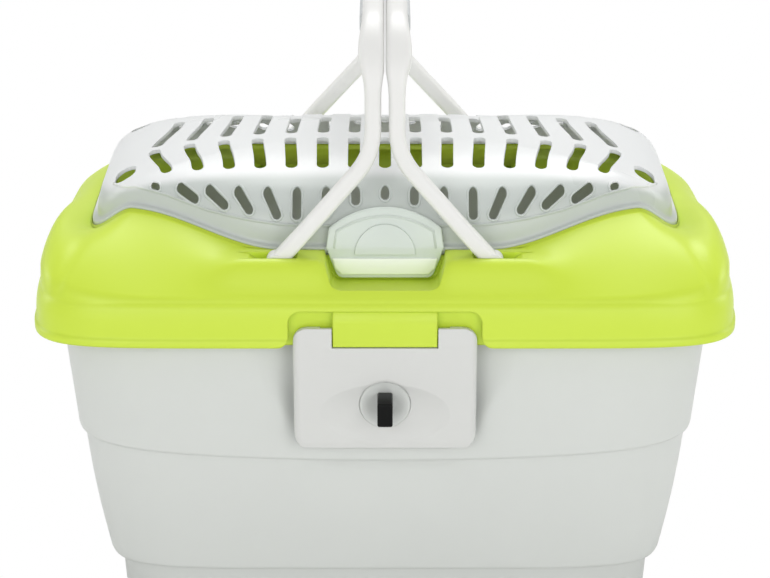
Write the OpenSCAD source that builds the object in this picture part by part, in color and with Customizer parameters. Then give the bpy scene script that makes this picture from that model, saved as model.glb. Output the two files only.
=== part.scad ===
/* [Tub] */
// Height of the lid's lower edge above the ground
rim_z = 140; // [125:1:160]
// Length of the tub under the lid
tub_length = 284; // [260:1:286]
// Depth of the tub under the lid, front to back
tub_depth = 214; // [200:1:215]
// How far the tub's top edge stands up inside the lid
tub_lip = 8; // [6:0.5:10]
// Wall thickness of the tub
tub_wall = 2.6; // [2:0.1:3]
// Thickness of the tub's floor
floor_t = 3; // [2:0.5:4]
// Height of the upper ledge at the middle of the long sides
ledge_z = 83; // [76:1:86]
// How much the upper ledge rises towards the corners
ledge_arch = 7; // [0:0.5:9]
// How far the walls lean in above the ledge
upper_lean = 5; // [3:0.5:7]
// Width of the ledge
ledge_step = 2.4; // [1.5:0.1:3]
// How far the walls lean in below the ledge
lower_lean = 9; // [6:0.5:11]
// Height of the plinth that the tub stands on
plinth_h = 25; // [18:1:30]
// Width of the step above the plinth
plinth_step = 5; // [3:0.5:6]

/* [Lid] */
// Length of the lid at its rim
lid_length = 303; // [298:1:306]
// Depth of the lid at its rim
lid_depth = 230; // [229:1:234]
// Wall thickness of the lid
lid_wall = 2.2; // [1.8:0.1:2.6]
// Height of the small lip round the rim
lip_h = 3.4; // [2:0.2:5]
// Height of the upright skirt at the front
skirt_h = 20; // [18:0.5:21]
// Length of the door opening, outside its rebate
opening_length = 262; // [258:1:264]
// Depth of the door opening, outside its rebate
opening_depth = 174; // [172:1:175]
// Height of the opening's edge over the rim, at the middle
seat_low = 34.5; // [33:0.5:36]
// How much higher the edge is at its crests
seat_rise = 11.5; // [8:0.5:13]
// How far the opening narrows towards its ends
seat_narrow = 21; // [16:1:24]
// Depth of the rebate that the door lies in
rebate_d = 2.8; // [2:0.1:3.2]
// Width of the rebate's shelf
rebate_w = 5.5; // [4:0.5:7]

/* [Door] */
// Height of the door's ridge over the rim
dome_top = 66.5; // [62:0.5:69]
// Wall thickness of the door
door_wall = 2; // [1.6:0.1:2.4]
// Clearance round the door in its rebate
door_gap = 0.4; // [0.3:0.05:0.6]
// Number of long slots in each upper row
slot_count = 15; // [9:2:17]
// Distance between the long slots
slot_pitch = 13.5; // [12.5:0.1:13.8]
// Width of a long slot
slot_w = 5; // [3:0.2:6.5]
// Number of vents in the front row
vent_count = 17; // [9:2:17]
// Distance between the vents
vent_pitch = 12.5; // [11:0.1:12.6]
// Width of a vent
vent_w = 4.8; // [3:0.2:5.4]
// Diameter of the hinge pin
hinge_pin_d = 3; // [2.5:0.1:3.5]
// Width of the door's catch
catch_w = 50; // [40:1:52]
// Height of the door's catch
catch_h = 30; // [26:0.5:31]
// Thickness of the door's catch
catch_t = 2; // [1.6:0.1:2.2]

/* [Handles] */
// Distance of the handle pivots from the middle
pivot_x = 46; // [44:0.5:48]
// Distance of the handle arms from the middle, front and back
pivot_y = 95; // [94:0.5:96]
// Height of the handle pivots over the rim
pivot_h = 31.5; // [30:0.5:32]
// Height of the grips over the rim
grip_h = 126; // [120:1:134]
// Width of an arm
arm_w = 7; // [6:0.1:8]
// Depth of an arm
arm_d = 8; // [6:0.2:8.2]
// Width of a grip
grip_w = 9.6; // [9:0.2:10.2]
// Width of a handle at its upper corners
corner_w = 11; // [10.4:0.2:11.6]
// Height of a grip's section
grip_section_h = 14; // [12:0.5:16]
// Length of the soft pad on each grip
pad_l = 124; // [90:2:140]
// Height of the soft pad
pad_h = 9; // [7:0.5:10]
// Diameter of the handle's stub pins
stub_d = 5; // [4:0.2:6]

/* [Latches] */
// Width of a latch plate
latch_w = 77.5; // [72:0.5:79]
// Height of a latch plate below the rim
latch_drop = 45; // [42:0.5:47]
// How far the ears stand up beside the tongue
ear_h = 8.7; // [7:0.1:10]
// Thickness of a latch plate
latch_t = 3; // [2.6:0.1:3.4]
// Width of the lid's tongue between the ears
tongue_w = 44; // [38:0.5:46]
// Height of the recess for the latch in the lid's skirt
recess_h = 15.7; // [14:0.1:17]
// Diameter of the latch's hinge pin
latch_pin_d = 3; // [2.4:0.1:3.2]
// Diameter of the hole round the perch knob
knob_hole_d = 22; // [21:0.5:23]

/* [Perch] */
// Depth of the perch below the rim
perch_drop = 27; // [26:0.5:28]
// Diameter of the perch
perch_d = 12; // [10:0.5:16]
// Width of a perch knob
knob_w = 6.5; // [5:0.1:7]
// Height of a perch knob
knob_h = 10.5; // [7:0.1:11]
// How far a knob stands out of its boss
knob_out = 13; // [10:0.5:13]
// Diameter of the knob's shank
shank_d = 6; // [5:0.2:7]
// Diameter of the screw inside the knob and the perch
screw_d = 3; // [2.5:0.1:3.6]
// Diameter of the washer at each end of the perch
washer_d = 18; // [15:0.5:20]
// Thickness of a washer
washer_t = 1.5; // [1:0.1:2]

/* [Hidden] */

// Points along a long side and along a short side of every lofted ring
long_steps = 22;
short_steps = 14;
// Radial clearance of pins, and the gap between pieces that lie on each other
pin_gap = 0.05;
seat_gap = 0.3;
// Gap under the flange of the door
door_seat_gap = 0.55;
// Clearance beside moving pieces
side_gap = 0.4;

lime = "#cfe646";
pale_grey = "#d9dcd8";
handle_grey = "#e4e5e3";
milky = "#dfe5e4";
black = "#1c1c1c";
wood = "#c9a46c";
steel = "#b8bcc0";

// A closed ring of directions on a unit square, counter-clockwise, with more points at its corners
ring = concat(
    [for (i = [0:long_steps - 1]) [sin(-90 + 180 * i / long_steps), -1]],
    [for (i = [0:short_steps - 1]) [1, sin(-90 + 180 * i / short_steps)]],
    [for (i = [0:long_steps - 1]) [sin(90 - 180 * i / long_steps), 1]],
    [for (i = [0:short_steps - 1]) [-1, sin(90 - 180 * i / short_steps)]]);

function mix(a, b, t) = a + (b - a) * t;
function clamp01(t) = max(0, min(1, t));
function smooth(t) = let (c = clamp01(t)) c * c * (3 - 2 * c);
function squircle(p, n) = pow(pow(abs(p[0]), n) + pow(abs(p[1]), n), -1 / n);

// A rounded rectangle of half length a and half depth b, squarer for a larger n
function plan(p, a, b, n) = let (k = squircle(p, n)) [a * p[0] * k, b * p[1] * k];

// Triangles that join the rings of a loft; closed joins the last ring to the first
function loft_faces(rings, n, closed) = [
    for (i = [0:rings - (closed ? 1 : 2)], j = [0:n - 1])
        let (a = i * n + j, b = i * n + (j + 1) % n)
        let (next = (i + 1) % rings, d = next * n + j, c = next * n + (j + 1) % n)
        each [[a, d, c], [a, c, b]]];

// A solid through rings of points, with its first ring closed downward and its last upward
module capped_loft(rings, first_centre, last_centre) {
    n = len(rings[0]);
    count = len(rings);
    points = concat([for (r = rings) each r], [first_centre, last_centre]);
    low = count * n;
    high = low + 1;
    top = (count - 1) * n;
    faces = concat(loft_faces(count, n, false),
        [for (j = [0:n - 1]) [low, j, (j + 1) % n]],
        [for (j = [0:n - 1]) [high, top + (j + 1) % n, top + j]]);
    polyhedron(points, faces);
}

// A solid ring whose rings of points run round its section
module ring_loft(rings) {
    n = len(rings[0]);
    polyhedron([for (r = rings) each r], loft_faces(len(rings), n, true));
}

// Mirrors what is given to the other side, front to back
module front_and_rear() {
    children();
    rotate([0, 0, 180]) children();
}

module left_and_right() {
    children();
    mirror([1, 0, 0]) children();
}

// Tub

tub_a = tub_length / 2;
tub_b = tub_depth / 2;
tub_n = 7;
tub_top = rim_z + tub_lip;

function tub_ring(inset, z, arch) = [for (p = ring)
    let (q = plan(p, tub_a - inset, tub_b - inset, tub_n))
    [q[0], q[1], z + arch * pow(abs(q[0]) / tub_a, 2)]];

inset_ledge = upper_lean;
inset_below = inset_ledge + ledge_step;
inset_foot = inset_below + lower_lean;
inset_plinth = inset_foot + plinth_step;
plinth_lean = 1.5;
foot_round = 2;
ledge_round = 1.5;

module tub_shell() {
    outer = [
        tub_ring(inset_plinth + plinth_lean + foot_round, 0, 0),
        tub_ring(inset_plinth + plinth_lean, foot_round, 0),
        tub_ring(inset_plinth, plinth_h, 0),
        tub_ring(inset_foot + ledge_round, plinth_h + 0.4, 0),
        tub_ring(inset_foot, plinth_h + 2, 0),
        tub_ring(inset_below, ledge_z - 0.4, ledge_arch),
        tub_ring(inset_ledge + 0.5, ledge_z, ledge_arch),
        tub_ring(inset_ledge, ledge_z + ledge_round, ledge_arch),
        tub_ring(0, rim_z, 0),
        tub_ring(0, tub_top, 0)];
    inner = [
        tub_ring(tub_wall, tub_top, 0),
        tub_ring(tub_wall, rim_z, 0),
        tub_ring(inset_ledge + tub_wall, ledge_z + ledge_round, ledge_arch),
        tub_ring(inset_below + tub_wall, ledge_z - ledge_round, ledge_arch),
        tub_ring(inset_foot + tub_wall, plinth_h + 2 + tub_wall, 0),
        tub_ring(inset_plinth + tub_wall, plinth_h - 1, 0),
        tub_ring(inset_plinth + plinth_lean + tub_wall, foot_round + floor_t, 0),
        tub_ring(inset_plinth + plinth_lean + foot_round + tub_wall, floor_t, 0)];
    capped_loft(concat(outer, inner), [0, 0, 0], [0, 0, floor_t]);
}

// Half depth of the tub's outer wall at a height above its ledge, at the middle
function wall_y(z) = tub_b - upper_lean * clamp01((rim_z - z) / (rim_z - ledge_z - ledge_round));

// Places of the latch plates

latch_top = lid_depth / 2 + 0.2;
latch_z = rim_z - latch_drop;
latch_axis_y = wall_y(latch_z) + 4.4;
barrel_r = latch_pin_d / 2 + 2;
lug_r = barrel_r - 0.4;
latch_skin = 0.9;
latch_bottom_y = latch_axis_y + lug_r + seat_gap + latch_skin;
barrel_half = 27;
lug_t = 4;
latch_pin_half = barrel_half + side_gap + lug_t;

// Half depth of the latch plate's outer face at a height
function latch_face(z) = mix(latch_bottom_y, latch_top, clamp01((z - latch_z) / (rim_z - latch_z)));

// Perch and its fixing

perch_z = rim_z - perch_drop;
perch_wall = wall_y(perch_z);
boss_d = knob_hole_d - 1.2;
boss_face = latch_face(perch_z) - latch_t + 1;
inner_boss_face = perch_wall - tub_wall - 3;
shank_end = inner_boss_face + seat_gap;
perch_end = inner_boss_face - washer_t;
perch_pocket = 12;
screw_reach = perch_pocket - 1;

module along_y(y) {
    translate([0, y, perch_z]) rotate([90, 0, 0]) children();
}

module tub_boss() {
    difference() {
        union() {
            along_y(-perch_wall + 1) cylinder(h = boss_face - perch_wall + 1, d = boss_d, $fn = 64);
            along_y(-inner_boss_face) cylinder(h = perch_wall - inner_boss_face, d = washer_d + 2, $fn = 64);
        }
        // Shallow dish round the knob
        along_y(-boss_face + 1.6) cylinder(h = 1.8, d1 = knob_h + 1.4, d2 = boss_d - 2, $fn = 64);
    }
}

module tub() {
    color(pale_grey)
    difference() {
        union() {
            tub_shell();
            front_and_rear() tub_boss();
            front_and_rear() latch_lugs();
        }
        front_and_rear()
            along_y(-inner_boss_face + 2) cylinder(h = 20, d = shank_d + 2 * pin_gap, $fn = 48);
    }
}

module perch() {
    color(wood)
    translate([0, 0, perch_z]) rotate([90, 0, 0])
    difference() {
        cylinder(h = 2 * perch_end, d = perch_d, center = true, $fn = 64);
        for (side = [0, 1]) mirror([0, 0, side])
            translate([0, 0, perch_end - perch_pocket])
                cylinder(h = perch_pocket + 1, d = screw_d + 2 * pin_gap, $fn = 32);
    }
}

module perch_washer() {
    color(black)
    along_y(-perch_end)
    difference() {
        cylinder(h = washer_t, d = washer_d, $fn = 64);
        translate([0, 0, -1]) cylinder(h = washer_t + 2, d = screw_d + 4 * pin_gap, $fn = 32);
    }
}

module perch_washer_front() { perch_washer(); }
module perch_washer_rear() { rotate([0, 0, 180]) perch_washer(); }

knob_root = boss_face - 1.2;
knob_tip = boss_face + knob_out;
screw_tip = knob_root + 6;

// The black knob: an upright bar on a round shank that passes the wall
module perch_knob() {
    bevel = 1;
    color(black)
    difference() {
        union() {
            along_y(-shank_end) cylinder(h = knob_root - shank_end + 1, d = shank_d, $fn = 48);
            translate([-knob_w / 2, -knob_tip, perch_z])
                rotate([90, 0, 90])
                linear_extrude(knob_w)
                polygon([[0, -knob_h / 2 + bevel], [bevel, -knob_h / 2], [knob_tip - knob_root, -knob_h / 2],
                    [knob_tip - knob_root, knob_h / 2], [bevel, knob_h / 2], [0, knob_h / 2 - bevel]]);
        }
        along_y(-shank_end + 1) cylinder(h = screw_tip - shank_end + 1, d = screw_d + 2 * pin_gap, $fn = 32);
    }
}

module perch_knob_front() { perch_knob(); }
module perch_knob_rear() { rotate([0, 0, 180]) perch_knob(); }

module perch_screw() {
    color(steel)
    along_y(-perch_end + screw_reach)
        cylinder(h = screw_tip - perch_end + screw_reach - 0.3, d = screw_d, $fn = 32);
}

module perch_screw_front() { perch_screw(); }
module perch_screw_rear() { rotate([0, 0, 180]) perch_screw(); }

// Latches

module latch_profile() {
    knee = rim_z - 4;
    polygon([
        [-latch_top, rim_z + ear_h - 1], [-latch_top, rim_z - 1], [-latch_face(knee), knee],
        [-latch_bottom_y, latch_z], [-latch_bottom_y + latch_skin, latch_z - 2],
        [-latch_axis_y - 0.5, latch_z - barrel_r + 0.6], [-latch_axis_y, latch_z],
        [-latch_bottom_y + latch_t, latch_z + 1.5], [-latch_face(knee) + latch_t, knee],
        [-latch_top + latch_t, rim_z - 1], [-latch_top + latch_t, rim_z + ear_h],
        [-latch_top + 1, rim_z + ear_h]]);
}

// Extrudes a shape drawn in depth and height along the object's length
module across(width) {
    rotate([90, 0, 90]) linear_extrude(width, center = true) children();
}

pin_reach = 4.5;
lid_stub_d = 3.2;
lid_stub_y = latch_top - latch_t + 0.9 - lid_stub_d / 2;
lid_stub_z = rim_z + 4.4;

// An upright sheet with rounded upper corners, and lower ones if foot isn't 0, from behind a depth y forwards
module arched_sheet(half, low, high, corner, foot, y, t) {
    translate([0, -y, 0]) rotate([90, 0, 0]) linear_extrude(t)
        polygon(concat(
            foot == 0 ? [[-half, low]] :
                [for (a = [180:15:270]) [-half + foot + foot * cos(a), low + foot + foot * sin(a)]],
            foot == 0 ? [[half, low]] :
                [for (a = [270:15:360]) [half - foot + foot * cos(a), low + foot + foot * sin(a)]],
            [for (a = [0:15:90]) [half - corner + corner * cos(a), high - corner + corner * sin(a)]],
            [for (a = [90:15:180]) [-half + corner + corner * cos(a), high - corner + corner * sin(a)]]));
}

module latch() {
    thumb_w = 55;
    thumb_h = 28;
    color(handle_grey)
    difference() {
        union() {
            intersection() {
                across(latch_w) latch_profile();
                arched_sheet(latch_w / 2, latch_z - 3.5, rim_z + ear_h, 6, 9, latch_axis_y - 1, 20);
            }
            translate([0, -latch_axis_y, latch_z]) rotate([0, 90, 0])
                cylinder(h = 2 * barrel_half, r = barrel_r, center = true, $fn = 48);
            // Side walls that close the plate towards the tub
            left_and_right()
                translate([latch_w / 2 - 2.4, 0, 0]) rotate([90, 0, 90]) linear_extrude(2.4)
                polygon([[-latch_face(rim_z - 8) + 1, rim_z - 8], [-wall_y(rim_z - 8) - 1, rim_z - 8],
                    [-wall_y(latch_z + 8) - 1, latch_z + 8], [-latch_face(latch_z + 8) + 1, latch_z + 8]]);
        }
        // Gap for the lid's tongue
        translate([-tongue_w / 2 - side_gap, -latch_top - 1, rim_z])
            cube([tongue_w + 2 * side_gap, latch_t + 4, ear_h + 1]);
        // Cut away round the two lugs on the tub
        left_and_right()
            translate([barrel_half, -latch_bottom_y + latch_skin, latch_z - barrel_r - 1])
            cube([lug_t + 2 * side_gap, 2 * barrel_r, 2 * barrel_r + 2.4]);
        // Thumb hollow
        translate([0, -latch_face(perch_z + 2) - 0.4, perch_z + 1])
            scale([thumb_w / 2, 2.2, thumb_h / 2]) sphere(1, $fn = 40);
        // Hole that passes the perch's knob
        along_y(-latch_face(perch_z) + latch_t + 3) cylinder(h = latch_t + 8, d = knob_hole_d, $fn = 64);
        // Grooves for the stub pins of the lid, open at the top
        left_and_right()
            translate([tongue_w / 2 - 1, -lid_stub_y - lid_stub_d / 2 - side_gap, lid_stub_z - lid_stub_d / 2 - side_gap])
            cube([pin_reach + 1.4 + side_gap, lid_stub_d + 4, ear_h + 2]);
        // Bore for the hinge pin
        translate([0, -latch_axis_y, latch_z]) rotate([0, 90, 0])
            cylinder(h = 2 * latch_pin_half + 1, d = latch_pin_d + 2 * pin_gap, center = true, $fn = 48);
    }
}

module latch_front() { latch(); }
module latch_rear() { rotate([0, 0, 180]) latch(); }

module latch_pin() {
    color(steel)
    translate([0, -latch_axis_y, latch_z]) rotate([0, 90, 0])
        cylinder(h = 2 * latch_pin_half, d = latch_pin_d, center = true, $fn = 48);
}

module latch_pin_front() { latch_pin(); }
module latch_pin_rear() { rotate([0, 0, 180]) latch_pin(); }

// Two lugs on the tub that hold the latch's hinge pin
module latch_lugs() {
    left_and_right()
        translate([barrel_half + side_gap, 0, 0])
        difference() {
            union() {
                translate([0, -latch_axis_y, latch_z]) rotate([0, 90, 0])
                    cylinder(h = lug_t, r = lug_r, $fn = 48);
                translate([0, -latch_axis_y, latch_z - lug_r])
                    cube([lug_t, latch_axis_y - wall_y(latch_z) + 1.5, 2 * lug_r]);
            }
            translate([-1, -latch_axis_y, latch_z]) rotate([0, 90, 0])
                cylinder(h = lug_t + 2, d = latch_pin_d + 2 * pin_gap, $fn = 48);
        }
}

// Lid

lid_a = lid_length / 2;
lid_b = lid_depth / 2;
// Squareness of the lid's corners, front and rear
lid_n = 9;
lid_rear_n = 6.7;
seat_a = opening_length / 2;
seat_b = opening_depth / 2;
seat_n = 7;

// Height of the opening's edge over the rim: low at the middle, a crest, lower at the ends and the rear
rear_drop = 0.55;
end_drop = 1.11;
function seat_h(x, y) = seat_low + seat_rise * (1 - rear_drop * smooth((y + 40) / 100))
    * (smooth((abs(x) - 0.34 * seat_a) / (0.47 * seat_a)) - end_drop * smooth((abs(x) - 0.83 * seat_a) / (0.17 * seat_a)));

// Outline of the opening, grown by an offset; its long sides draw in towards the ends
function seat_plan(p, grow) = let (k = squircle(p, seat_n), x = (seat_a + grow) * p[0] * k)
    [x, (seat_b + grow - seat_narrow * smooth((abs(x) - 0.32 * seat_a) / (0.62 * seat_a))) * p[1] * k];

function seat_ring(grow, dz) = [for (p = ring)
    let (q = seat_plan(p, grow)) [q[0], q[1], rim_z + seat_h(q[0], q[1]) + dz]];

function lid_k(p) = squircle(p, p[1] > 0 ? lid_rear_n : lid_n);
function lid_plan(p, grow) = lid_k(p) * [(lid_a + grow) * p[0], (lid_b + grow) * p[1]];

// 1 at the ends of the lid, 0 along its long sides
function endness(p) = pow(abs(p[0]) * lid_k(p), 6) * (abs(p[1]) < 1 ? 1 : abs(p[0]));

// Amounts at the lid's ends, each at the front and at the rear
end_skirt = [6.5, -6];
end_bulge = [7.3, -0.6];
function end_amount(p, amounts) = endness(p)
    * mix(amounts[0], amounts[1], smooth((p[1] * lid_k(p) + 0.6) / 1.2));

// A ring round the skirt; it sinks where the skirt is lower
function rim_ring(grow, z) = [for (p = ring)
    let (q = lid_plan(p, grow), lower = z > lip_h + 1 ? min(0, end_amount(p, end_skirt)) / skirt_h : 0)
    [q[0], q[1], rim_z + z * (1 + lower)]];

seat_step = 1.6;
front_bulge = 3.2;
crease_inset = 3.4;
end_poke = 0.011;

// Rings between the skirt's crease at t = 0 and the opening's edge at t = 1, sunk by a wall
function panel_ring(t, sink) = [for (p = ring)
    let (e = endness(p), low = lid_plan(p, -crease_inset - sink) + [0.8 * e * p[0] * lid_k(p), 0])
    let (high = seat_plan(p, -sink), low_z = skirt_h + end_amount(p, end_skirt))
    let (high_z = seat_h(high[0], high[1]) - seat_step * smooth(t))
    let (q = mix(low, high, t), middle = 1 - smooth((abs(q[0]) - 62) / 45))
    let (swell = end_amount(p, end_bulge) * sin(180 * pow(t, 0.8)) + front_bulge * middle * sin(180 * t))
    [q[0] * (1 + end_poke * e * sin(180 * t)), q[1], rim_z + mix(low_z, high_z, t) + swell - sink]];

module lid_shell() {
    ring_loft([
        rim_ring(0.4, 0),
        rim_ring(0.6, 0.8),
        rim_ring(0.6, lip_h - 0.4),
        rim_ring(-0.3, lip_h + 0.3),
        rim_ring(0, lip_h + 5),
        rim_ring(-0.6, 0.55 * skirt_h + 3),
        rim_ring(-1.7, skirt_h - 2.5),
        panel_ring(0, 0),
        panel_ring(0.2, 0),
        panel_ring(0.4, 0),
        panel_ring(0.6, 0),
        panel_ring(0.8, 0),
        panel_ring(1, 0),
        seat_ring(-0.1, -0.1),
        seat_ring(-0.4, -0.2),
        seat_ring(-0.4, -rebate_d),
        seat_ring(-0.5 * rebate_w - 0.4, -rebate_d),
        seat_ring(-rebate_w - 0.4, -rebate_d),
        seat_ring(-rebate_w - 0.4, -rebate_d - lid_wall),
        seat_ring(-lid_wall, -rebate_d - lid_wall - 0.4),
        panel_ring(0.8, lid_wall + 0.6),
        panel_ring(0.6, lid_wall),
        panel_ring(0.4, lid_wall),
        panel_ring(0.2, lid_wall),
        panel_ring(0, lid_wall),
        rim_ring(-1.7 - lid_wall, skirt_h - 4.5),
        rim_ring(-lid_wall, lip_h + 3),
        rim_ring(-lid_wall, 0)]);
}

// Height of the front panel's face at a depth
function panel_z(y) = let (t = clamp01((lid_b - crease_inset - y) / (lid_b - crease_inset - seat_b)))
    rim_z + mix(skirt_h, seat_low - seat_step * smooth(t), t) + front_bulge * sin(180 * t);

// Hinge of the door

hinge_y = seat_b + 3.2;
hinge_h = seat_low + 4.2;
hinge_z = rim_z + hinge_h;
hinge_r = hinge_pin_d / 2 + 1.8;
hinge_inner = 5;
hinge_outer = 19;
hinge_lug_t = 3;
hinge_pin_half = hinge_outer + side_gap + hinge_lug_t;

module lid_hinge_lug(x) {
    translate([x, hinge_y, hinge_z]) rotate([0, 90, 0]) cylinder(h = hinge_lug_t, r = hinge_r, $fn = 40);
    translate([x, hinge_y - hinge_r, rim_z + skirt_h + 2]) cube([hinge_lug_t, 2 * hinge_r + 2, hinge_h - skirt_h - 2]);
}

// Handle sockets

socket_half = 13;
cheek_t = 3;
slot_half = arm_d / 2 + side_gap;
stub_half = slot_half + cheek_t - 1;
socket_y0 = pivot_y - slot_half - cheek_t;
socket_y1 = pivot_y + slot_half + cheek_t;
socket_top = pivot_h + stub_d / 2 + 1.4;
socket_base = skirt_h - 3;
foot_r = 4.4;

// Outline of a socket at a height, grown by a flare on all sides but the one at the door
function socket_ring(flare, z) = [for (a = [0:15:345])
    let (q = plan([cos(a), sin(a)], socket_half + flare, (socket_y1 - socket_y0 + flare) / 2, 5))
    [pivot_x + q[0], q[1] - (socket_y0 + socket_y1 + flare) / 2, rim_z + z]];

module socket_block() {
    capped_loft([
        socket_ring(6, socket_base),
        socket_ring(5, panel_z(socket_y1) - rim_z - 1),
        socket_ring(1.2, socket_top - 3),
        socket_ring(0.3, socket_top - 0.8),
        socket_ring(-0.6, socket_top)],
        [pivot_x, -pivot_y, rim_z + socket_base], [pivot_x, -pivot_y, rim_z + socket_top]);
}

module socket_cuts() {
    floor_h = foot_r + 0.6;
    wall_x = foot_r + 1.2;
    // Slot that the arm stands and folds in
    translate([pivot_x, -pivot_y + slot_half, rim_z + pivot_h]) rotate([90, 0, 0])
        linear_extrude(2 * slot_half)
        polygon([[-wall_x, -floor_h], [1.5, -floor_h], [socket_half - 1, 2.4], [socket_half + 7, 3.4], [socket_half + 7, 30],
            [-socket_half + 2, 30], [-socket_half + 2, 5.6], [-wall_x, -0.6]]);
    translate([pivot_x, -pivot_y, rim_z + pivot_h]) rotate([90, 0, 0])
        cylinder(h = 2 * stub_half + 0.6, d = stub_d + 2 * pin_gap, center = true, $fn = 48);
}

// Pocket that the door's catch hangs in

pocket_half = catch_w / 2 + 0.8;
pocket_back = seat_b - 0.6;
pocket_floor = skirt_h + 1.3;
pocket_front = seat_b + 21;
catch_back = seat_b - 0.2;
catch_foot = pocket_floor + 1;

module pocket_body() {
    low = rim_z + pocket_floor - 2.4;
    across(2 * pocket_half + 5)
        polygon([[-pocket_back + 2.6, low], [-pocket_front + 2, low],
            [-pocket_front, panel_z(pocket_front) - 1.6], [-seat_b - 1, panel_z(seat_b + 1) - 2.2],
            [-pocket_back + 2.6, rim_z + seat_low - rebate_d]]);
}

// The pocket is open at its top and narrows towards its floor
module pocket_cut() {
    intersection() {
        across(2 * pocket_half)
            polygon([[-pocket_back, rim_z + pocket_floor], [-pocket_front + 4, rim_z + pocket_floor],
                [-pocket_front - 1, panel_z(pocket_front + 1) + 0.2], [-lid_b, rim_z + 60], [-pocket_back, rim_z + 60]]);
        translate([0, -80, rim_z]) rotate([90, 0, 0]) linear_extrude(40)
            polygon([[-pocket_half + 2.6, pocket_floor - 1], [pocket_half - 2.6, pocket_floor - 1],
                [pocket_half, pocket_floor + 13], [pocket_half, 70], [-pocket_half, 70], [-pocket_half, pocket_floor + 13]]);
    }
}

recess_half = latch_w / 2 + 2;
recess_back = latch_top - latch_t - 1.2;

module latch_recess_body() {
    translate([-recess_half - 2, -lid_b + 1.2, rim_z])
        cube([2 * recess_half + 4, lid_b - 1.2 - recess_back + lid_wall, recess_h + 2]);
}

module latch_recess_cut() {
    arched_sheet(recess_half, rim_z - 1, rim_z + recess_h, 4, 0, recess_back, 20);
}

module lid_tongue() {
    across(tongue_w)
        polygon([[-recess_back + 1, rim_z + seat_gap], [-lid_b, rim_z + seat_gap], [-lid_b, rim_z + recess_h - 6],
            [-lid_b + 1.6, rim_z + recess_h - 3], [-recess_back + 1, rim_z + recess_h - 1]]);
    left_and_right()
        translate([tongue_w / 2 - 1, -lid_stub_y, lid_stub_z]) rotate([0, 90, 0])
        cylinder(h = pin_reach + 1, d = lid_stub_d, $fn = 32);
    // Web that carries the two stub pins
    left_and_right()
        translate([tongue_w / 2 - 1, -lid_stub_y, lid_stub_z - 0.8])
        cube([pin_reach + 1, lid_stub_y - recess_back + 1, 1.6]);
}

// Ribs under the skirt that rest on the tub's top edge
module seat_ribs() {
    rib_t = 2.4;
    rib_h = 4;
    rib_inset = 2.4;
    for (x = [-100, -62, 62, 100])
        front_and_rear()
        translate([x - rib_t / 2, -lid_b + rib_inset, tub_top])
        cube([rib_t, lid_b - tub_b + tub_wall - rib_inset + 1, rib_h]);
    for (y = [-50, 0, 50])
        left_and_right()
        translate([-lid_a + rib_inset, y - rib_t / 2, tub_top])
        cube([lid_a - tub_a + tub_wall - rib_inset + 1, rib_t, rib_h]);
}

module lid() {
    color(lime)
    union() {
        difference() {
            union() {
                lid_shell();
                front_and_rear() left_and_right() socket_block();
                pocket_body();
                front_and_rear() latch_recess_body();
                for (x = [hinge_inner - side_gap - hinge_lug_t, hinge_outer + side_gap]) {
                    lid_hinge_lug(x);
                    lid_hinge_lug(-x - hinge_lug_t);
                }
            }
            front_and_rear() left_and_right() socket_cuts();
            pocket_cut();
            front_and_rear() latch_recess_cut();
            // Relief under the door's hinge barrels, and the bore of the hinge pin
            left_and_right()
                translate([hinge_inner - side_gap, hinge_y - hinge_r - 0.6, hinge_z - hinge_r - 0.6])
                cube([hinge_outer - hinge_inner + 2 * side_gap, 2 * hinge_r + 4, 20]);
            translate([0, hinge_y, hinge_z]) rotate([0, 90, 0])
                cylinder(h = 60, d = hinge_pin_d + 2 * pin_gap, center = true, $fn = 40);
        }
        front_and_rear() lid_tongue();
        seat_ribs();
    }
}

// Door

ridge_y = -8;
door_grow = -0.4 - door_gap;
flange_h = 3;
dome_inset = 2.4;

// Roundness of the dome's section: full at the ends and the front, flatter towards the back
function dome_m(p) = mix(3, p[1] < 0 ? 2.9 : 1.6, pow(abs(p[1]), 4));

// A ring of the dome at an angle from 0 at its foot to 90 at its ridge, sunk by a wall
function dome_ring(angle, sink) = [for (p = ring)
    let (m = dome_m(p), s = pow(cos(angle), 2 / m), h = pow(sin(angle), 2 / m))
    let (q = seat_plan(p, door_grow - dome_inset - sink), foot = seat_h(q[0], q[1]) + 0.8)
    [q[0] * s, ridge_y + (q[1] - ridge_y) * s, rim_z + mix(foot, dome_top - sink, h)]];

dome_angles = [8, 20, 34, 50, 66, 80];

module door_shell() {
    capped_loft(concat(
        [for (i = [len(dome_angles) - 1:-1:0]) dome_ring(dome_angles[i], door_wall)],
        [seat_ring(door_grow - dome_inset - door_wall, -rebate_d + door_seat_gap)],
        [seat_ring(door_grow - 0.5 * (dome_inset + door_wall), -rebate_d + door_seat_gap)],
        [seat_ring(door_grow, -rebate_d + door_seat_gap)],
        [seat_ring(door_grow, flange_h - rebate_d + seat_gap)],
        [seat_ring(door_grow - dome_inset, flange_h - rebate_d + seat_gap + 0.3)],
        [for (a = dome_angles) dome_ring(a, 0)]),
        [0, ridge_y, rim_z + dome_top - door_wall], [0, ridge_y, rim_z + dome_top]);
}

// A slot with round ends between two points
module slot_2d(from, to, w) {
    run = to - from;
    translate(from) rotate(atan2(run[1], run[0])) {
        translate([0, -w / 2]) square([norm(run), w]);
        circle(d = w, $fn = 24);
        translate([norm(run), 0]) circle(d = w, $fn = 24);
    }
}

front_slots = [-57, -27.5];
ridge_slots = [-15, 15];
rear_slots = [31, 57];
slot_fan = 0.17;

// Place of slot i along the door: the outer slots lean in, away from the line between the two front rows
function slot_x(i, y) = i * slot_pitch + sign(i) * slot_fan * i * i * (1 - smooth(abs(y + 22) / 38));

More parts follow.
